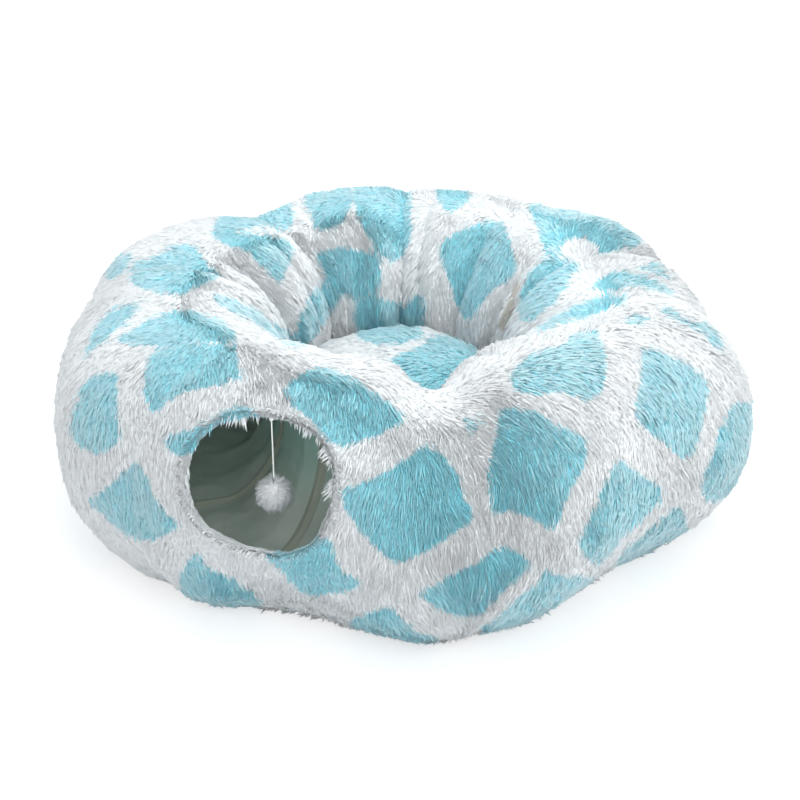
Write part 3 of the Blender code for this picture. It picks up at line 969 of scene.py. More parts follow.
def grow_pile(name, base, group, material, body="tunnel"):
    """Grow locks on a bare net of faces, keep them as a mesh and remove the net."""
    net = bmesh.new()
    net.from_mesh(base.data)
    settle_order(net)
    net.to_mesh(base.data)
    net.free()
    modifier = base.modifiers.new("Pile", "NODES")
    modifier.node_group = group
    keep_modifiers(base)
    data = base.data
    bpy.data.objects.remove(base, do_unlink=True)
    data.name = name
    for layer in list(data.uv_layers):
        data.uv_layers.remove(layer)
    for unused in ("lie", "rise", "length", "pile", "stand"):
        data.attributes.remove(data.attributes[unused])
    lay_out_locks(data)
    data.materials.clear()
    data.materials.append(material)
    item = bpy.data.objects.new(name, data)
    bpy.context.scene.collection.objects.link(item)
    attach(item, body)
    print(name, len(data.polygons), "faces")
    return item


# %% [markdown]
# Long pile has a parting, as hair has. Along the crown of the ring it falls outwards on one side
# and into the well on the other, with the swirls that a stroking hand leaves.

# %% Say how the pile is brushed
parting_turn = math.radians(98)
parting_drift = math.radians(12)
parting_width = math.radians(16)
parting_slant = 0.5


def lie_of_pile(spot):
    """The direction in which the pile is brushed at a point of the ring."""
    angle, turn, _ = ring_place(spot)
    level, along = outwards(angle), round_ring(angle)
    over = up * math.cos(turn) - level * math.sin(turn)
    parting = parting_turn + parting_drift * noise.noise(spot / 0.12)
    side = math.tanh((turn - parting) / parting_width) if turn < math.radians(300) else -1.0
    swirl = 0.7 * noise.noise(spot / 0.16 + up) + 0.5 * noise.noise(spot / 0.045 - up)
    nearest = min(crease_distance(angle, crease) for crease in crease_angles)
    swirl *= 1 + 0.5 * max(0.0, 1 - nearest / math.radians(7))
    swirl += 0.5 * noise.noise(spot / 0.019 + up)
    swirl += parting_slant * (1 - side ** 2)
    return (over * side + along * swirl).normalized()


# %% [markdown]
# White and teal are two dyes on the same strands. Each lock is painted a little darker, and its
# teal deeper, towards the root: this is painted shade for the little light that reaches down
# there. No two locks are quite the same.

# %% Colour the pile
white_colour = (0.905, 0.94, 0.96, 1.0)
teal_colour = (0.255, 0.685, 0.815, 1.0)
cloth_colour = (0.72, 0.66, 0.58, 1.0)
root_shade = (0.55, 0.80, 0.84, 1.0)
fringe = 0.0055


def print_colour(tree, depth, blur, white=white_colour, teal=teal_colour):
    """White or teal, by how deep a place lies in a patch, or the cloth's beige on a bare seam."""
    printed = tree.mix(tree.between(depth, -blur, blur), white, teal)
    return tree.mix(tree.between(tree.kept("bare"), 0.2, 0.6), printed, cloth_colour)


def make_pile_material(name, white=white_colour, teal=teal_colour):
    """Locks with painted shade at the root, darker with deeper teal, and each a bit different."""
    material, tree = new_material(name)
    depth, along, tint = tree.kept("print"), tree.kept("along"), tree.kept("tint")
    ragged = depth + (tint - 0.5) * fringe + (tree.clouds(0.009) - 0.5) * fringe
    # painted shade: the teal deepens towards each lock's root
    root_shaded_teal = tuple(part * share for part, share in zip(teal, root_shade))
    teal = tree.mix(tree.between(along, 0.05, 0.85), root_shaded_teal, teal)
    colour = print_colour(tree, ragged, 0.002, white, teal)
    # painted shade darkens each lock towards its root; the tint and the blotches are random tone
    light = tree.between(along, 0.0, 0.6, 0.90, 1.0) * tree.between(tint, 0.0, 1.0, 0.95, 1.03)
    light = light * tree.between(tree.clouds(0.05), 0.3, 0.7, 0.97, 1.03)
    finish_material(
        tree, tree.tint(colour, light), 0.9, sheen=0.2, Subsurface_Weight=0.6,
        Subsurface_Radius=(0.006, 0.006, 0.006), Subsurface_Scale=1.0)
    return material


pile_material = make_pile_material("long_pile")


def make_ground_material(name):
    """The cloth that the pile grows from, seen between the locks."""
    material, tree = new_material(name)
    depth = tree.kept("print") + (tree.clouds(0.012) - 0.5) * fringe
    colour = print_colour(tree, depth, 0.004)
    nap = tree.clouds(0.0025, 3.0)
    shade = tree.between(nap, 0.2, 0.8, 0.9, 1.0)
    finish_material(tree, tree.tint(colour, shade), 0.95, tree.bump(nap, 0.002, 0.6), 0.2)
    return material


ground_material = make_ground_material("plush_ground")
print("Materials for the plush are ready")

# %% [markdown]
# ## The plush lobes
# Each lobe is a curved length of the tube. A circle is spun round the ring's middle through the
# lobe's angle, which gives an even net of faces, and each vertex is then moved out to the shape.
# The gathers on the well side, where the cloth has length to spare, are waves added to that
# distance. The closed wall below the pile is spun the same way, from a flat ring instead of a
# circle.

# %% Spin the lobes
skin_columns = 132
skin_row_angle = math.radians(1.3)
seam_gap = math.radians(0.04)
well_lean = math.radians(20)
gather_count = 23
gather_depth = 0.0026
lump_depth = 0.0035
lump_size = 0.10
skin_sink = 0.0015
least_wall = 0.0025
wall_back = plush_wall - lining_back_gap
inner_face_reach = tube_width / 2 - plush_wall / 4
map_edge = 0.01
outside_strip = (0.27, 0.71)
inside_strip = (0.02, 0.23)


def gather(angle, turn):
    """The small gathers between the folds of the well side, and the loose lumps all over."""
    spot = place(angle, turn)
    well_side = max(0.0, -math.cos(turn - well_lean)) ** side_fade
    drift = 1.6 * noise.noise(spot / 0.15)
    folds = math.sin(angle * gather_count + drift * 2) * gather_depth * well_side
    folds *= 0.6 + 0.8 * noise.noise(spot / 0.07)
    return folds + lump_depth * noise.noise(spot / lump_size)


def plush_inset(angle, turn):
    """How far the outside of the plush lies in from the plain tube."""
    return min(skin_sink - gather(angle, turn), wall_back - least_wall)


def section_at(angle):
    """The matrix that stands a flat section up across the tube at an angle."""
    section = Matrix.Translation(ring_middle) @ Matrix.Rotation(angle, 4, "Z")
    section = section @ Matrix.Translation((centre_radius, 0.0, centre_height))
    return section @ Matrix.Rotation(math.pi / 2, 4, "X")


def spin_tube(start, span, columns, rows, wall=0.0, closed=False):
    """Spin a circle, or a flat ring as wide as the wall, round the ring's middle."""
    net = bmesh.new()
    bmesh.ops.create_circle(
        net, cap_ends=wall > 0, segments=columns, radius=tube_width / 2, matrix=section_at(start))
    if wall > 0:
        disc = net.faces[:]
        bmesh.ops.inset_individual(net, faces=disc, thickness=wall, use_even_offset=True)
        bmesh.ops.delete(net, geom=disc, context="FACES_ONLY")
    bmesh.ops.spin(
        net, geom=net.verts[:] + net.edges[:] + net.faces[:], cent=ring_middle, axis=up,
        angle=span, steps=rows, use_merge=closed)
    settle_order(net)
    return net


def turn_out(net):
    """Turn the faces of an open tube outwards."""
    bmesh.ops.recalc_face_normals(net, faces=net.faces)
    pointing = 0.0
    for face in net.faces:
        middle = face.calc_center_median()
        angle, turn, _ = ring_place(middle)
        away = outwards(angle) * math.cos(turn) + up * math.sin(turn)
        pointing += away.dot(face.normal)
    if pointing < 0:
        bmesh.ops.reverse_faces(net, faces=net.faces)


def mould(net, outside, inside=None):
    """Move a plain tube to the sagging shape, with an inset for each of its faces."""
    for vert in net.verts:
        angle, turn, reach = ring_place(vert.co)
        outer = inside is None or reach > inner_face_reach
        vert.co = place(angle, turn, (outside if outer else inside)(angle, turn))
        vert.co.z = max(vert.co.z, ground_gap)


def lay_out_uv(net, start, span):
    """A map of a plain tube: along it one way and round it the other, outside over inside."""
    layer = net.loops.layers.uv.new("OFBake")
    for face in net.faces:
        angle, turn, reach = ring_place(face.calc_center_median())
        low_edge, strip = inside_strip if reach < inner_face_reach else outside_strip
        for loop in face.loops:
            corner_angle, corner_turn, _ = ring_place(loop.vert.co)
            along = (corner_angle - angle + math.pi) % full_turn - math.pi
            along += (angle - start) % full_turn
            about = (corner_turn - turn + math.pi) % full_turn - math.pi + turn
            loop[layer].uv = (
                map_edge + (1 - 2 * map_edge) * along / span,
                low_edge + strip * about / full_turn)


print("Wall of the plush", round(wall_back - skin_sink, 4), "m")

# %% [markdown]
# On each lobe a bare net carries the pile and then goes, and a closed wall of the same shape stays
# below it. The pile is trimmed near the entries and stands up along a seam, where plush is
# crowded.

# %% Dress the seven lobes
pile_spacing = 0.0019
lock_width = 0.0023
lock_length = 0.021
pile_height = 0.005
pile_rise = math.radians(14)
rise_chance = math.radians(5)
yaw_chance = math.radians(11)
bare_height = 0.004
rim_band = 0.0018
trimmed_share = 0.45
trimmed_reach = 0.035
seam_reach = math.radians(5)
seam_fluff = math.radians(14)
lobe_count = len(crease_angles)


def mark_pile(data):
    """Store on a net where the pile grows, which way, how steeply, how long and in which colour."""
    spots, normals = places_of(data), normals_of(data)
    points = [Vector(spot) for spot in spots]
    hanging = tuft_share(spots, normals)
    lies = [lie_of_pile(point).lerp(tuft_way, share) for point, share in zip(points, hanging)]
    bare_spots = bare_share(spots, normals)
    grown, lengths, rises = [], [], []
    for point, bare_spot, tuft_here in zip(points, bare_spots, hanging):
        _, gap, turn = beyond_entry(point)
        bare = binding_tape + rim_band * max(0.0, 0.35 - math.sin(turn)) / 1.35
        grown.append(0.0 if point.z < bare_height or gap < bare else 1.0)
        angle, around, _ = ring_place(point)
        seam = min(crease_distance(angle, crease) for crease in crease_angles)
        seam = max(0.0, 1 - seam / seam_reach) * max(0.0, -math.cos(around - well_lean))
        trimmed = trimmed_share * max(0.0, 1 - abs(gap) / trimmed_reach) * (1 - tuft_here)
        stray = 1.1 * max(0.0, noise.noise(point / 0.022 - up) - 0.25)
        stray *= 1 if gap < trimmed_reach else 0
        length = (0.9 + 0.3 * noise.noise(point / 0.05)) * (1 - trimmed) + stray + 0.25 * seam
        lengths.append(length * (1 - 0.8 * bare_spot))
        tuft = noise.noise(Vector((point.x, point.y, point.z * 1.4)) / 0.020)
        rises.append(math.radians(14) * tuft + math.radians(6) * noise.noise(point / 0.06)
                     + seam_fluff * seam)
    mark(data, lie=lies, print=ring_print(spots + normals * pile_height, normals),
         bare=bare_spots, pile=grown, rise=rises, length=lengths)


for index, crease_angle in enumerate(crease_angles):
    name = f"plush_lobe_{index + 1}"
    following = crease_angles[(index + 1) % lobe_count]
    span = (following - crease_angle) % full_turn - 2 * seam_gap
    start = crease_angle + seam_gap
    rows = round(span / skin_row_angle)

    net = spin_tube(start, span, skin_columns, rows)
    mould(net, plush_inset)
    turn_out(net)
    base = show(name + "_base", net, body=None)
    mark_pile(base.data)
    group = pile_nodes(
        name, pile_spacing, 11 + index * 10, lock_width, lock_length, pile_rise, rise_chance,
        yaw_chance)
    pile = grow_pile(name + "_pile", base, group, pile_material)

    net = spin_tube(start, span, skin_columns, rows, wall=wall_back)
    bmesh.ops.recalc_face_normals(net, faces=net.faces)
    lay_out_uv(net, start, span)
    mould(net, plush_inset, lambda angle, turn: wall_back)
    skin = show(name + "_skin", net, ground_material)
    spots, normals = places_of(skin.data), normals_of(skin.data)
    store(skin.data, "print", ring_print(spots + normals * pile_height, normals))
    store(skin.data, "bare", bare_share(spots, normals))
    cut_entries(skin)
    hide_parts(name)

# %% [markdown]
# ## The lining
# Inside the plush runs a thin cloth tube, grey-green, which the cat walks on. It is a closed ring
# of its own, spun like the lobes, a little slack between the hoops. Its weave is fine, so it is
# left to the material as a bump.

# %% Spin the lining
lining_inset = plush_wall + lining_back_gap
lining_columns = 84
lining_rows = 252
slack_depth = 0.0095
hoop_hold = math.radians(5)


def find_hoop_angles():
    """One hoop in the middle of each plain lobe, and one on each side of an entry."""
    found = []
    for index, crease_angle in enumerate(crease_angles):
        following = crease_angles[(index + 1) % lobe_count]
        span = (following - crease_angle) % full_turn
        inside = [
            angle for angle in entry_angles.values() if (angle - crease_angle) % full_turn < span]
        if inside:
            found += [inside[0] - hoop_flank, inside[0] + hoop_flank]
        else:
            found.append(crease_angle + span / 2)
    return [angle % full_turn for angle in found]


hoop_angles = find_hoop_angles()


def lining_place(angle, turn):
    """How far in the lining lies: tight at the hoops, slack between them."""
    spot = place(angle, turn)
    nearest = min(crease_distance(angle, hoop) for hoop in hoop_angles)
    free = min(1.0, max(0.0, nearest / hoop_hold - 0.6))
    wave = 0.5 + 0.5 * noise.noise(Vector((spot.x, spot.y, spot.z * 0.6)) / 0.05)
    crumple = abs(noise.noise(spot / 0.028 + up))
    return lining_inset + slack_depth * free * (0.65 * wave + 0.5 * crumple)


def make_cloth_material(name, colour, weave=0.0011, mottle=0.06, low_colour=None):
    """Plain woven cloth, with another colour near the ground if there is one."""
    material, tree = new_material(name)
    where = tree.node("ShaderNodeTexCoord")["Object"]
    thread = full_turn / weave
    spot = tree.node("ShaderNodeSeparateXYZ", {}, {0: where})
    warp = tree.maths("SINE", (spot["X"] + spot["Z"]) * thread)
    weft = tree.maths("SINE", (spot["Y"] + spot["Z"] * 0.6) * thread)
    cloth = (warp * weft) * 0.5 + 0.5
    shade = tree.between(tree.clouds(0.06, 4.0), 0.25, 0.75, 1 - mottle, 1 + mottle)
    shade = shade * tree.between(cloth, 0.0, 1.0, 0.95, 1.02)
    base = tree.mix(tree.between(spot["Z"], 0.03, 0.12), low_colour or colour, colour)
    finish_material(tree, tree.tint(base, shade), 0.75, tree.bump(cloth, 0.0003, 0.35), 0.15)
    return material


lining_material = make_cloth_material(
    "lining_cloth", (0.60, 0.85, 0.78, 1.0), low_colour=(0.83, 0.86, 0.80, 1.0))
net = spin_tube(0.0, full_turn, lining_columns, lining_rows, closed=True)
bmesh.ops.remove_doubles(net, verts=net.verts, dist=ground_gap)
lay_out_uv(net, 0.0, full_turn)
mould(net, lining_place)
turn_out(net)
lining_area = sum(face.calc_area() for face in net.faces)
lining = show("lining", net, lining_material)
modifier = lining.modifiers.new("Cloth", "SOLIDIFY")
modifier.thickness = lining_thickness
modifier.offset = -1.0
cut_entries(lining)
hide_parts("tunnel_lining")
print("Lining area", round(lining_area, 3), "m2")
print("Hoops at", [round(math.degrees(angle)) for angle in hoop_angles])

# %% [markdown]
# ## The hoops in their casings
# Brown tape is sewn to the lining over each spring hoop. A strip with a bulge in its middle is
# spun round the tube's centre line, then pressed onto the lining. The wire inside is spun in the
# same way.

# %% Spin the casings and the wires
casing_seat_gap = 0.0008
wire_radius = 0.0012
wire_gap = 0.0007
casing_tape = 0.0008
casing_half_width = 0.0062
casing_bulge = 0.0036
casing_inset = lining_inset + lining_thickness + casing_seat_gap
wire_inset = casing_inset + wire_gap + wire_radius
casing_sides = 16
wire_sides = 8
hoop_steps = 120


def spin_closed(net, middle, axis, steps, merge_gap):
    """Spin a net once round an axis and merge its end with its start."""
    bmesh.ops.spin(
        net, geom=net.verts[:] + net.edges[:], cent=middle, axis=axis, angle=full_turn,
        steps=steps, use_merge=True)
    bmesh.ops.remove_doubles(net, verts=net.verts, dist=merge_gap)
    settle_order(net)


def spin_strip(angle, sides):
    """A round bar that is spun round the tube's centre line at an angle."""
    net = bmesh.new()
    middle = ring_middle + outwards(angle) * centre_radius + up * centre_height
    rim = Matrix.Translation(middle + outwards(angle) * tube_width / 2)
    rim = rim @ Matrix.Rotation(angle, 4, "Z")
    bmesh.ops.create_circle(net, segments=sides, radius=casing_half_width, matrix=rim)
    spin_closed(net, middle, round_ring(angle), hoop_steps, ground_gap / 2)
    return net, middle


def press_on(net, middle, angle, shape_at):
    """Move a spun bar onto the inside of the tube, in the section that shape_at gives it."""
    for vert in net.verts:
        away = vert.co - middle
        along = away.dot(round_ring(angle))
        radial, height = away.dot(outwards(angle)), away.z
        turn = math.atan2(height, radial)
        depth = tube_width / 2 - math.hypot(radial, height)
        across, inset = shape_at(along / casing_half_width, depth / casing_half_width)
        reach = centre_radius + tube_reach(angle, turn) * math.cos(turn)
        vert.co = place(angle + across / reach, turn, inset)
    bmesh.ops.recalc_face_normals(net, faces=net.faces)


def casing_shape(across, depth):
    """A flat tape with a rounded bulge over the wire."""
    bulge = casing_bulge * math.sqrt(max(0.0, 1 - (across / 0.62) ** 2)) if depth > 0 else 0.0
    flat = casing_tape if depth > 0.02 else 0.0
    return across * casing_half_width, casing_inset - casing_seat_gap / 2 + flat + bulge


def wire_shape(across, depth):
    """A round wire."""
    return across * wire_radius, wire_inset + depth * wire_radius


tape_material = make_cloth_material("brown_tape", (0.66, 0.66, 0.57, 1.0), weave=0.0016)
steel_material, tree = new_material("spring_steel")
scuffs = tree.clouds(0.004, 4.0)
finish_material(
    tree, tree.tint((0.55, 0.55, 0.56), tree.between(scuffs, 0.3, 0.7, 0.85, 1.05)),
    tree.between(scuffs, 0.3, 0.7, 0.28, 0.42), Metallic=1.0)
for number, angle in enumerate(hoop_angles, 1):
    net, middle = spin_strip(angle, casing_sides)
    press_on(net, middle, angle, casing_shape)
    casing = show(f"casing_{number}", net, tape_material)
    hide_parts(f"hoop_casing_{number}")
    net, middle = spin_strip(angle, wire_sides)
    press_on(net, middle, angle, wire_shape)
    wire = show(f"wire_{number}", net, steel_material)
    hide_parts(f"spring_hoop_{number}")
print("Casings and wires:", len(hoop_angles))

# %% [markdown]
# ## The rims of the entries
# The edge of each hole is bound with a soft pale band that is rolled over the plush. A bar is spun
# round the entry's own axis, and each vertex then finds its depth on the tube, so the roll follows
# the wall as it curves away.

# %% Roll the rims
rim_width = 0.0052
rim_puff = 0.0026
rim_lock_length = 0.0085
rim_lock_width = 0.0020
rear_top_length = 0.4
rim_steps = 144
rim_sides = 18
rim_squareness = 2.6
bar_radius = 0.25


def depth_inside(point):
    """How far a point lies inside the plush, along its own turn."""
    angle, turn, reach = ring_place(point)
    return tube_reach(angle, turn) - reach


def halve(low_end, high_end, steps, is_before):
    """The place between two ends where a test stops being true, by halving."""
    for _ in range(steps):
        halfway = (low_end + high_end) / 2
        if is_before(halfway):
            low_end = halfway
        else:
            high_end = halfway
    return (low_end + high_end) / 2


def find_depth(start, out, inset):
    """How far along a direction the surface at an inset lies."""
    return halve(-bar_reach, bar_reach, 22, lambda along: depth_inside(start + out * along) > inset)


def roll_rim(entry):
    """The padded band round an entry."""
    middle, sideways, upwards, out = entry_frames[entry]
    net = bmesh.new()
    stand = Matrix.Translation((1.0, 0.0, 0.0)) @ Matrix.Rotation(math.pi / 2, 4, "X")
    bmesh.ops.create_circle(net, segments=rim_sides, radius=bar_radius, matrix=stand)
    spin_closed(net, Vector(), up, rim_steps, ground_gap / 4)
    for vert in net.verts:
        turn = math.atan2(vert.co.y, vert.co.x)
        inward = (math.hypot(vert.co.x, vert.co.y) - 1.0) / bar_radius
        outward = vert.co.z / bar_radius
        reach = abs(inward) ** rim_squareness + abs(outward) ** rim_squareness
        squared = reach ** (-1 / rim_squareness)
        inward, outward = inward * squared, outward * squared
        across, upright = entry_edge(turn, rim_width * (1 + inward) / 2)
        start = middle + sideways * across + upwards * upright
        pucker = 1 + 0.35 * noise.noise(Vector((across, upright, outward * 0.01)) / 0.006)
        outer_end = find_depth(start, out, 0.0) + rim_puff * pucker
        inner_end = find_depth(start, out, lining_inset + lining_thickness) - rim_puff * 0.6
        vert.co = start + out * (inner_end + (outer_end - inner_end) * (1 + outward) / 2)
    bmesh.ops.recalc_face_normals(net, faces=net.faces)
    return net


rim_material = make_cloth_material("rim_tape", (0.70, 0.69, 0.64, 1.0), weave=0.0012, mottle=0.04)


def mark_rim(data, entry):
    """Store on a rim's net what the short nap on its outer side needs."""
    middle, _, upwards, out = entry_frames[entry]
    spots, normals = places_of(data), normals_of(data)
    lies, grown, lengths, rises = [], [], [], []
    for spot, normal in zip(spots, normals):
        point = Vector(spot)
        away = point - middle
        away -= out * away.dot(out)
        away.normalize()
        lies.append((away * 0.7 - upwards * 0.4 + out * 0.5).normalized())
        grown.append(1.0 if Vector(normal).dot(out) > -0.25 else 0.0)
        rises.append(math.radians(12) * noise.noise(point / 0.012))
        short = rear_top_length if entry == "rear" and away.dot(upwards) > 0.2 else 1.0
        lengths.append(short * (0.9 + 0.5 * noise.noise(point / 0.02)))
    mark(data, lie=lies, print=ring_print(spots + np.array(lies) * rim_width, normals),
         bare=np.zeros(len(spots)), pile=grown, rise=rises, length=lengths)


for number, entry in enumerate(entry_angles):
    rim = show(f"{entry}_rim", roll_rim(entry), rim_material)
    base = copy_of(rim, f"{entry}_rim_base")
    mark_rim(base.data, entry)
    group = pile_nodes(
        f"{entry}_rim_nap", pile_spacing * 0.6, 171 + number * 10, rim_lock_width,
        rim_lock_length, math.radians(16), math.radians(8), math.radians(18))
    nap = grow_pile(f"{entry}_rim_nap", base, group, pile_material)
    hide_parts(f"{entry}_entry_binding")
print("Rims:", list(entry_angles))

# %% [markdown]
# ## The well's floor
# A flat cloth panel closes the middle of the ring under the cushion. It is a thin disc whose edge
# is moved out to meet the lobes.

# %% Cut the floor panel
floor_edge_steps = 144
floor_edge_gap = 0.0008


def well_edge(angle, height):
    """How far from the ring's middle the plush is at a height under the well's waist."""
    turn = halve(math.pi, math.pi * 1.5, 30, lambda turn: place(angle, turn).z > height)
    point = place(angle, turn) - ring_middle
    return math.hypot(point.x, point.y)


net = bmesh.new()
bmesh.ops.create_cone(
    net, cap_ends=True, segments=floor_edge_steps, radius1=1.0, radius2=1.0, depth=1.0)
lids = [face for face in net.faces if len(face.verts) == floor_edge_steps]
bmesh.ops.inset_individual(net, faces=lids, thickness=0.3)
bmesh.ops.poke(net, faces=lids)
for vert in net.verts:
    angle = math.atan2(vert.co.y, vert.co.x)
    share = math.hypot(vert.co.x, vert.co.y)
    reach = well_edge(angle, well_floor_height + well_floor_cloth) - floor_edge_gap
    level = well_floor_height + well_floor_cloth * (vert.co.z + 0.5)
    vert.co = ring_middle + outwards(angle) * reach * share + up * level
bmesh.ops.recalc_face_normals(net, faces=net.faces)
panel_area = sum(face.calc_area() for face in net.faces if face.normal.z > 0.5)
panel_material = make_cloth_material("floor_cloth", (0.42, 0.47, 0.45, 1.0), weave=0.0014)
panel = show("well_panel", net, panel_material)
panel.data.set_sharp_from_angle(angle=math.radians(50))
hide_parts("well_floor")
print("Panel area", round(panel_area, 4), "m2")

# %% [markdown]
# ## The cushion
# The cushion is a stuffed plush pad. Its cover starts as two smooth halves and a cloth simulation
# blows it up from inside while its seam is held, which gives it the soft puckers of a stuffed
# cover. The pile then grows on its upper side only.

# %% Stuff the cushion
# painted shade: darker copies of the ring's white and teal, for the cushion's brightly lit top
shaded_cushion_white = (0.80, 0.85, 0.87, 1.0)
shaded_cushion_teal = (0.15, 0.53, 0.64, 1.0)
shaded_cushion_material = make_pile_material("cushion_pile", shaded_cushion_white, shaded_cushion_teal)
cushion_columns = 96
cushion_rows = 26
cushion_fullness = 2.5
cushion_ripple = 0.0010
cushion_frames = 24
puff_limit = 0.008
seam_reach_up = 0.004
cover_low, cover_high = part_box("cushion_upper_cover")
under_low, under_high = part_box("cushion_lower_cover")
cushion_radius = (cover_high.x - cover_low.x) / 2
seam_height = (cover_low.z + under_high.z) / 2
upper_rise = cover_high.z - seam_height
lower_drop = seam_height - under_low.z


def stuff_cushion():
    """A closed pad, puckered by a cloth simulation with pressure inside."""
    net = bmesh.new()
    bmesh.ops.create_uvsphere(net, u_segments=cushion_columns, v_segments=cushion_rows, radius=1.0)
    settle_order(net)
    for vert in net.verts:
        share = math.sin(math.acos(max(-1.0, min(1.0, vert.co.z))))
        side = math.copysign(1.0, vert.co.z) if abs(vert.co.z) > 0.001 else 0.0
        rise = upper_rise if side > 0 else lower_drop
        height = rise * max(0.0, 1 - share ** cushion_fullness) ** (1 / cushion_fullness)
        flat = Vector((vert.co.x, vert.co.y, 0.0)) * cushion_radius
        ripple = cushion_ripple * noise.noise(vert.co / 0.13)
        level = seam_height + side * height + ripple
        vert.co = ring_middle + flat * (1 + ripple * 8) + up * level
    item = show("cushion_cover", net, body=None)
    seam = item.vertex_groups.new(name="seam")
    off_seam = np.abs(places_of(item.data)[:, 2] - seam_height)
    seam.add(np.flatnonzero(off_seam < seam_reach_up).tolist(), 1.0, "ADD")
    start = places_of(item.data)
    cloth = item.modifiers.new("Stuffing", "CLOTH")
    stuffing = {
        "quality": 6, "mass": 0.2, "tension_stiffness": 12, "bending_stiffness": 0.6,
        "shrink_min": -0.05, "use_pressure": True, "uniform_pressure_force": 1.2,
        "vertex_group_mass": "seam"}
    for setting, value in stuffing.items():
        setattr(cloth.settings, setting, value)
    cloth.settings.effector_weights.gravity = 0.0
    cloth.point_cache.frame_end = cushion_frames
    for step in range(1, cushion_frames + 1):
        bpy.context.scene.frame_set(step)
    keep_modifiers(item)
    bpy.context.scene.frame_set(1)
    moved = places_of(item.data) - start
    length = np.linalg.norm(moved, axis=1)[:, None]
    moved *= np.minimum(1.0, puff_limit / (length + 1e-9))
    places = start + moved
    places[:, 2] = np.maximum(places[:, 2], under_low.z)
    item.data.vertices.foreach_set("co", places.astype(np.float32).ravel())
    item.data.update()
    print("Cushion cover moved by up to", round(float(length.max()), 4), "m")
    return item


cushion = stuff_cushion()
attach(cushion, "cushion")
under_material = make_cloth_material("cushion_under", (0.60, 0.64, 0.64, 1.0), weave=0.0013)
cushion.data.materials.append(ground_material)
cushion.data.materials.append(under_material)
for face in cushion.data.polygons:
    face.material_index = int(face.center.z < seam_height - 0.001)
cushion.data.shade_smooth()


def cushion_print(points, normals):
    """The print's depth on the cushion."""
    seen = depth_in_outlines(points, cushion_outlines)
    return np.where(normals[:, 2] > 0.15, seen, outside_all)


def lie_on_cushion(spot):
    """The pile on the cushion is brushed to the left and outwards."""
    away = spot - (ring_middle + up * seam_height)
    swirl = Vector((0.0, 1.0, 0.0)) * 1.2 * noise.noise(spot / 0.07)
    return (Vector((-0.09, -0.03, 0.0)) + away * 0.9 + swirl * 0.08).normalized()


def mark_cushion(data):
    """Store on the cushion's net what its pile needs."""
    spots, normals = places_of(data), normals_of(data)
    points = [Vector(spot) for spot in spots]
    mark(data, lie=[lie_on_cushion(point) for point in points],
         print=cushion_print(spots + normals * pile_height, normals),
         bare=np.zeros(len(spots)), pile=spots[:, 2] > seam_height + seam_reach_up,
         rise=[math.radians(12) * noise.noise(point / 0.022) for point in points],
         length=[0.85 + 0.3 * noise.noise(point / 0.05) for point in points])


base = copy_of(cushion, "cushion_base")
mark_cushion(base.data)
group = pile_nodes(
    "cushion_pile", pile_spacing, 91, lock_width, lock_length * 0.9, math.radians(20),
    math.radians(7), math.radians(14))
cushion_pile = grow_pile("cushion_pile", base, group, shaded_cushion_material, body="cushion")
spots, normals = places_of(cushion.data), normals_of(cushion.data)
store(cushion.data, "print", cushion_print(spots + normals * pile_height, normals))
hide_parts("cushion_upper_cover", "cushion_lower_cover", "cushion_filling")

# %% [markdown]
# The piping is a thin covered cord in the seam, spun round the cushion.

# %% Spin the piping
piping_radius = 0.0028
piping_sides = 12
piping_steps = 160
net = bmesh.new()
piping_low, piping_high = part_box("cushion_piping")
piping_ring = (piping_high.x - piping_low.x) / 2 - piping_radius
bmesh.ops.create_circle(net, segments=piping_sides, radius=piping_radius, matrix=(
    Matrix.Translation(ring_middle + Vector((piping_ring, 0.0, seam_height)))
    @ Matrix.Rotation(math.pi / 2, 4, "X")))
spin_closed(net, ring_middle, up, piping_steps, ground_gap / 2)
bmesh.ops.recalc_face_normals(net, faces=net.faces)
piping_material = make_cloth_material("piping_cloth", (0.72, 0.76, 0.77, 1.0), weave=0.0009)
piping = show("piping", net, piping_material, body="cushion")
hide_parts("cushion_piping")

# %% [markdown]
# ## The toy
# A white string hangs from a knot in the front rim and carries a pompom. The string is two strands
# twisted round each other: a circle beside the axis, spun about it while it sinks. The knot is
# three small loops that lean three ways.

# %% Twist the string
cord_diameter = 0.0018
cord_length = 0.068
cord_low, cord_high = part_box("toy_cord")
cord_top = Vector(((cord_low.x + cord_high.x) / 2, (cord_low.y + cord_high.y) / 2, cord_high.z))
strand_radius = cord_diameter * 0.27
twist_pitch = 0.0055
twist_steps = 14


def added_to(net, before):
    """The vertices, edges and faces that a net holds besides some vertices and theirs."""
    verts = [vert for vert in net.verts if vert not in before]
    edges = [edge for edge in net.edges if edge.verts[0] not in before]
    faces = [face for face in net.faces if face.verts[0] not in before]
    return verts + edges + faces


def twist_strands():
    """Two strands that wind down round one line."""
    net = bmesh.new()
    turns = cord_length / twist_pitch
    steps = round(turns * twist_steps)
    for side in (0.0, math.pi):
        before = set(net.verts)
        offset = Matrix.Translation(cord_top) @ Matrix.Rotation(side, 4, "Z")
        offset = offset @ Matrix.Translation((cord_diameter / 2 - strand_radius, 0.0, 0.0))
        bmesh.ops.create_circle(
            net, cap_ends=True, segments=8, radius=strand_radius, matrix=offset)
        bmesh.ops.spin(
            net, geom=added_to(net, before), cent=cord_top, axis=up, angle=turns * full_turn,
            steps=steps, dvec=(0.0, 0.0, -cord_length / steps))
    settle_order(net)
    bmesh.ops.recalc_face_normals(net, faces=net.faces)
    return net


cord_material = make_cloth_material("string", (0.86, 0.87, 0.85, 1.0), weave=0.0006)
string = show("string", twist_strands(), cord_material, body="toy")
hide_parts("toy_cord")
print("String", cord_length, "m")

# %% [markdown]
# The knot is small and tight, so three rings of string that lean three ways through one middle
# show it well enough.

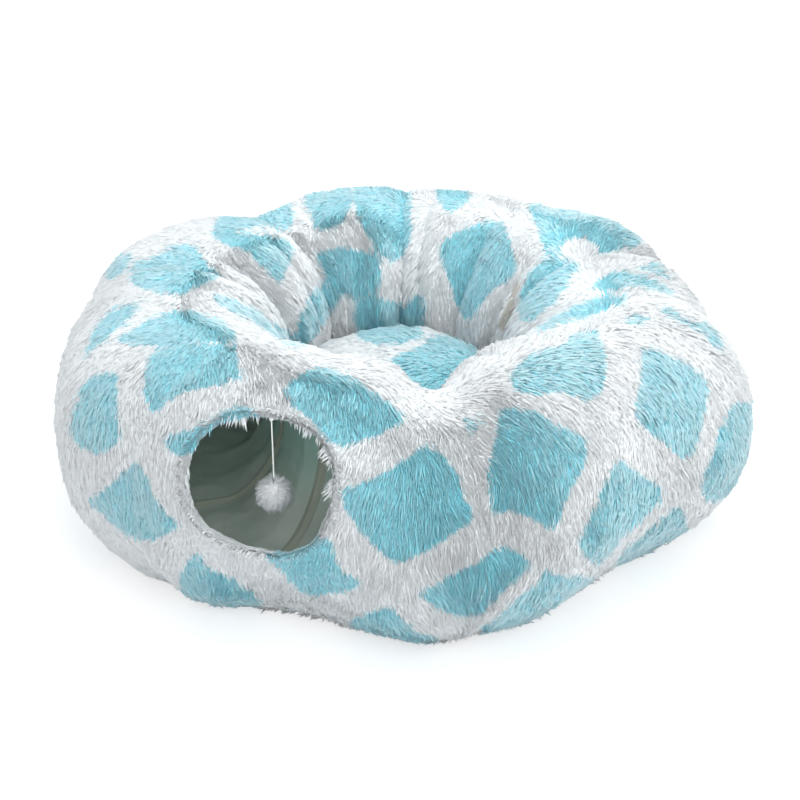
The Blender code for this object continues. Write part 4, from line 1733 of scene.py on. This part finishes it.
# %% Tie the knot
knot_leans = (20, 80, 145)
net = bmesh.new()
knot_low, knot_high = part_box("toy_knot")
knot_middle = (knot_low + knot_high) / 2
knot_radius = (knot_high.z - knot_low.z) / 2
for lean in knot_leans:
    before = set(net.verts)
    loop_place = Matrix.Translation(knot_middle) @ Matrix.Rotation(math.radians(lean), 4, "X")
    loop_place = loop_place @ Matrix.Rotation(math.radians(lean * 2), 4, "Z")
    start = loop_place @ Matrix.Translation((knot_radius * 0.6, 0.0, 0.0))
    bmesh.ops.create_circle(net, segments=10, radius=knot_radius * 0.4, matrix=(
        start @ Matrix.Rotation(math.pi / 2, 4, "X")))
    bmesh.ops.spin(
        net, geom=added_to(net, before), cent=knot_middle, axis=loop_place.to_3x3() @ up,
        angle=full_turn, steps=24, use_merge=True)
bmesh.ops.remove_doubles(net, verts=net.verts, dist=knot_radius / 100)
settle_order(net)
bmesh.ops.recalc_face_normals(net, faces=net.faces)
knot = show("knot", net, cord_material, body="toy_knot_body")
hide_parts("toy_knot")
print("Loops of the knot:", len(knot_leans))

# %% [markdown]
# The pompom is a ball of soft yarn ends. A small lumpy core carries short locks that stand out all
# over it, so that its edge is fuzzy from every side.

# %% Fluff the pompom
ball_low, ball_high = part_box("pompom")
ball_middle = (ball_low + ball_high) / 2
ball_radius = (ball_high.z - ball_low.z) / 2
core_share = 0.78
fluff_length = 0.0075
fluff_width = 0.0012
fluff_spacing = 0.0011
fluff_material, tree = new_material("fluff")
tuft = tree.clouds(0.004, 4.0)
finish_material(
    tree, tree.tint((0.86, 0.87, 0.86), tree.between(tuft, 0.2, 0.8, 0.82, 1.02)), 0.95,
    tree.bump(tuft, 0.002, 0.5), 0.3)
net = bmesh.new()
bmesh.ops.create_icosphere(net, subdivisions=5, radius=ball_radius * core_share, matrix=(
    Matrix.Translation(ball_middle)))
for vert in net.verts:
    away = (vert.co - ball_middle).normalized()
    lump = 0.06 * noise.noise(vert.co / 0.009)
    vert.co = ball_middle + away * ball_radius * (core_share + lump)
ball = show("ball", net, fluff_material, body="toy")
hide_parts("pompom")

base = copy_of(ball, "ball_base")
points = [Vector(spot) for spot in places_of(base.data)]
everywhere = np.ones(len(points))
lies = [Vector((noise.noise(point / 0.008), noise.noise(point / 0.008 + up), -0.4)).normalized()
        for point in points]
rises = [math.radians(40) + 0.5 * noise.noise(point / 0.006) for point in points]
mark(base.data, lie=lies, print=everywhere * outside_all, bare=everywhere * 0.0,
     pile=everywhere, rise=rises, length=everywhere)
group = pile_nodes(
    "fluff", fluff_spacing, 131, fluff_width, fluff_length, math.radians(15), math.radians(25),
    math.radians(60))
fluff = grow_pile("fluff_pile", base, group, pile_material, body="toy")
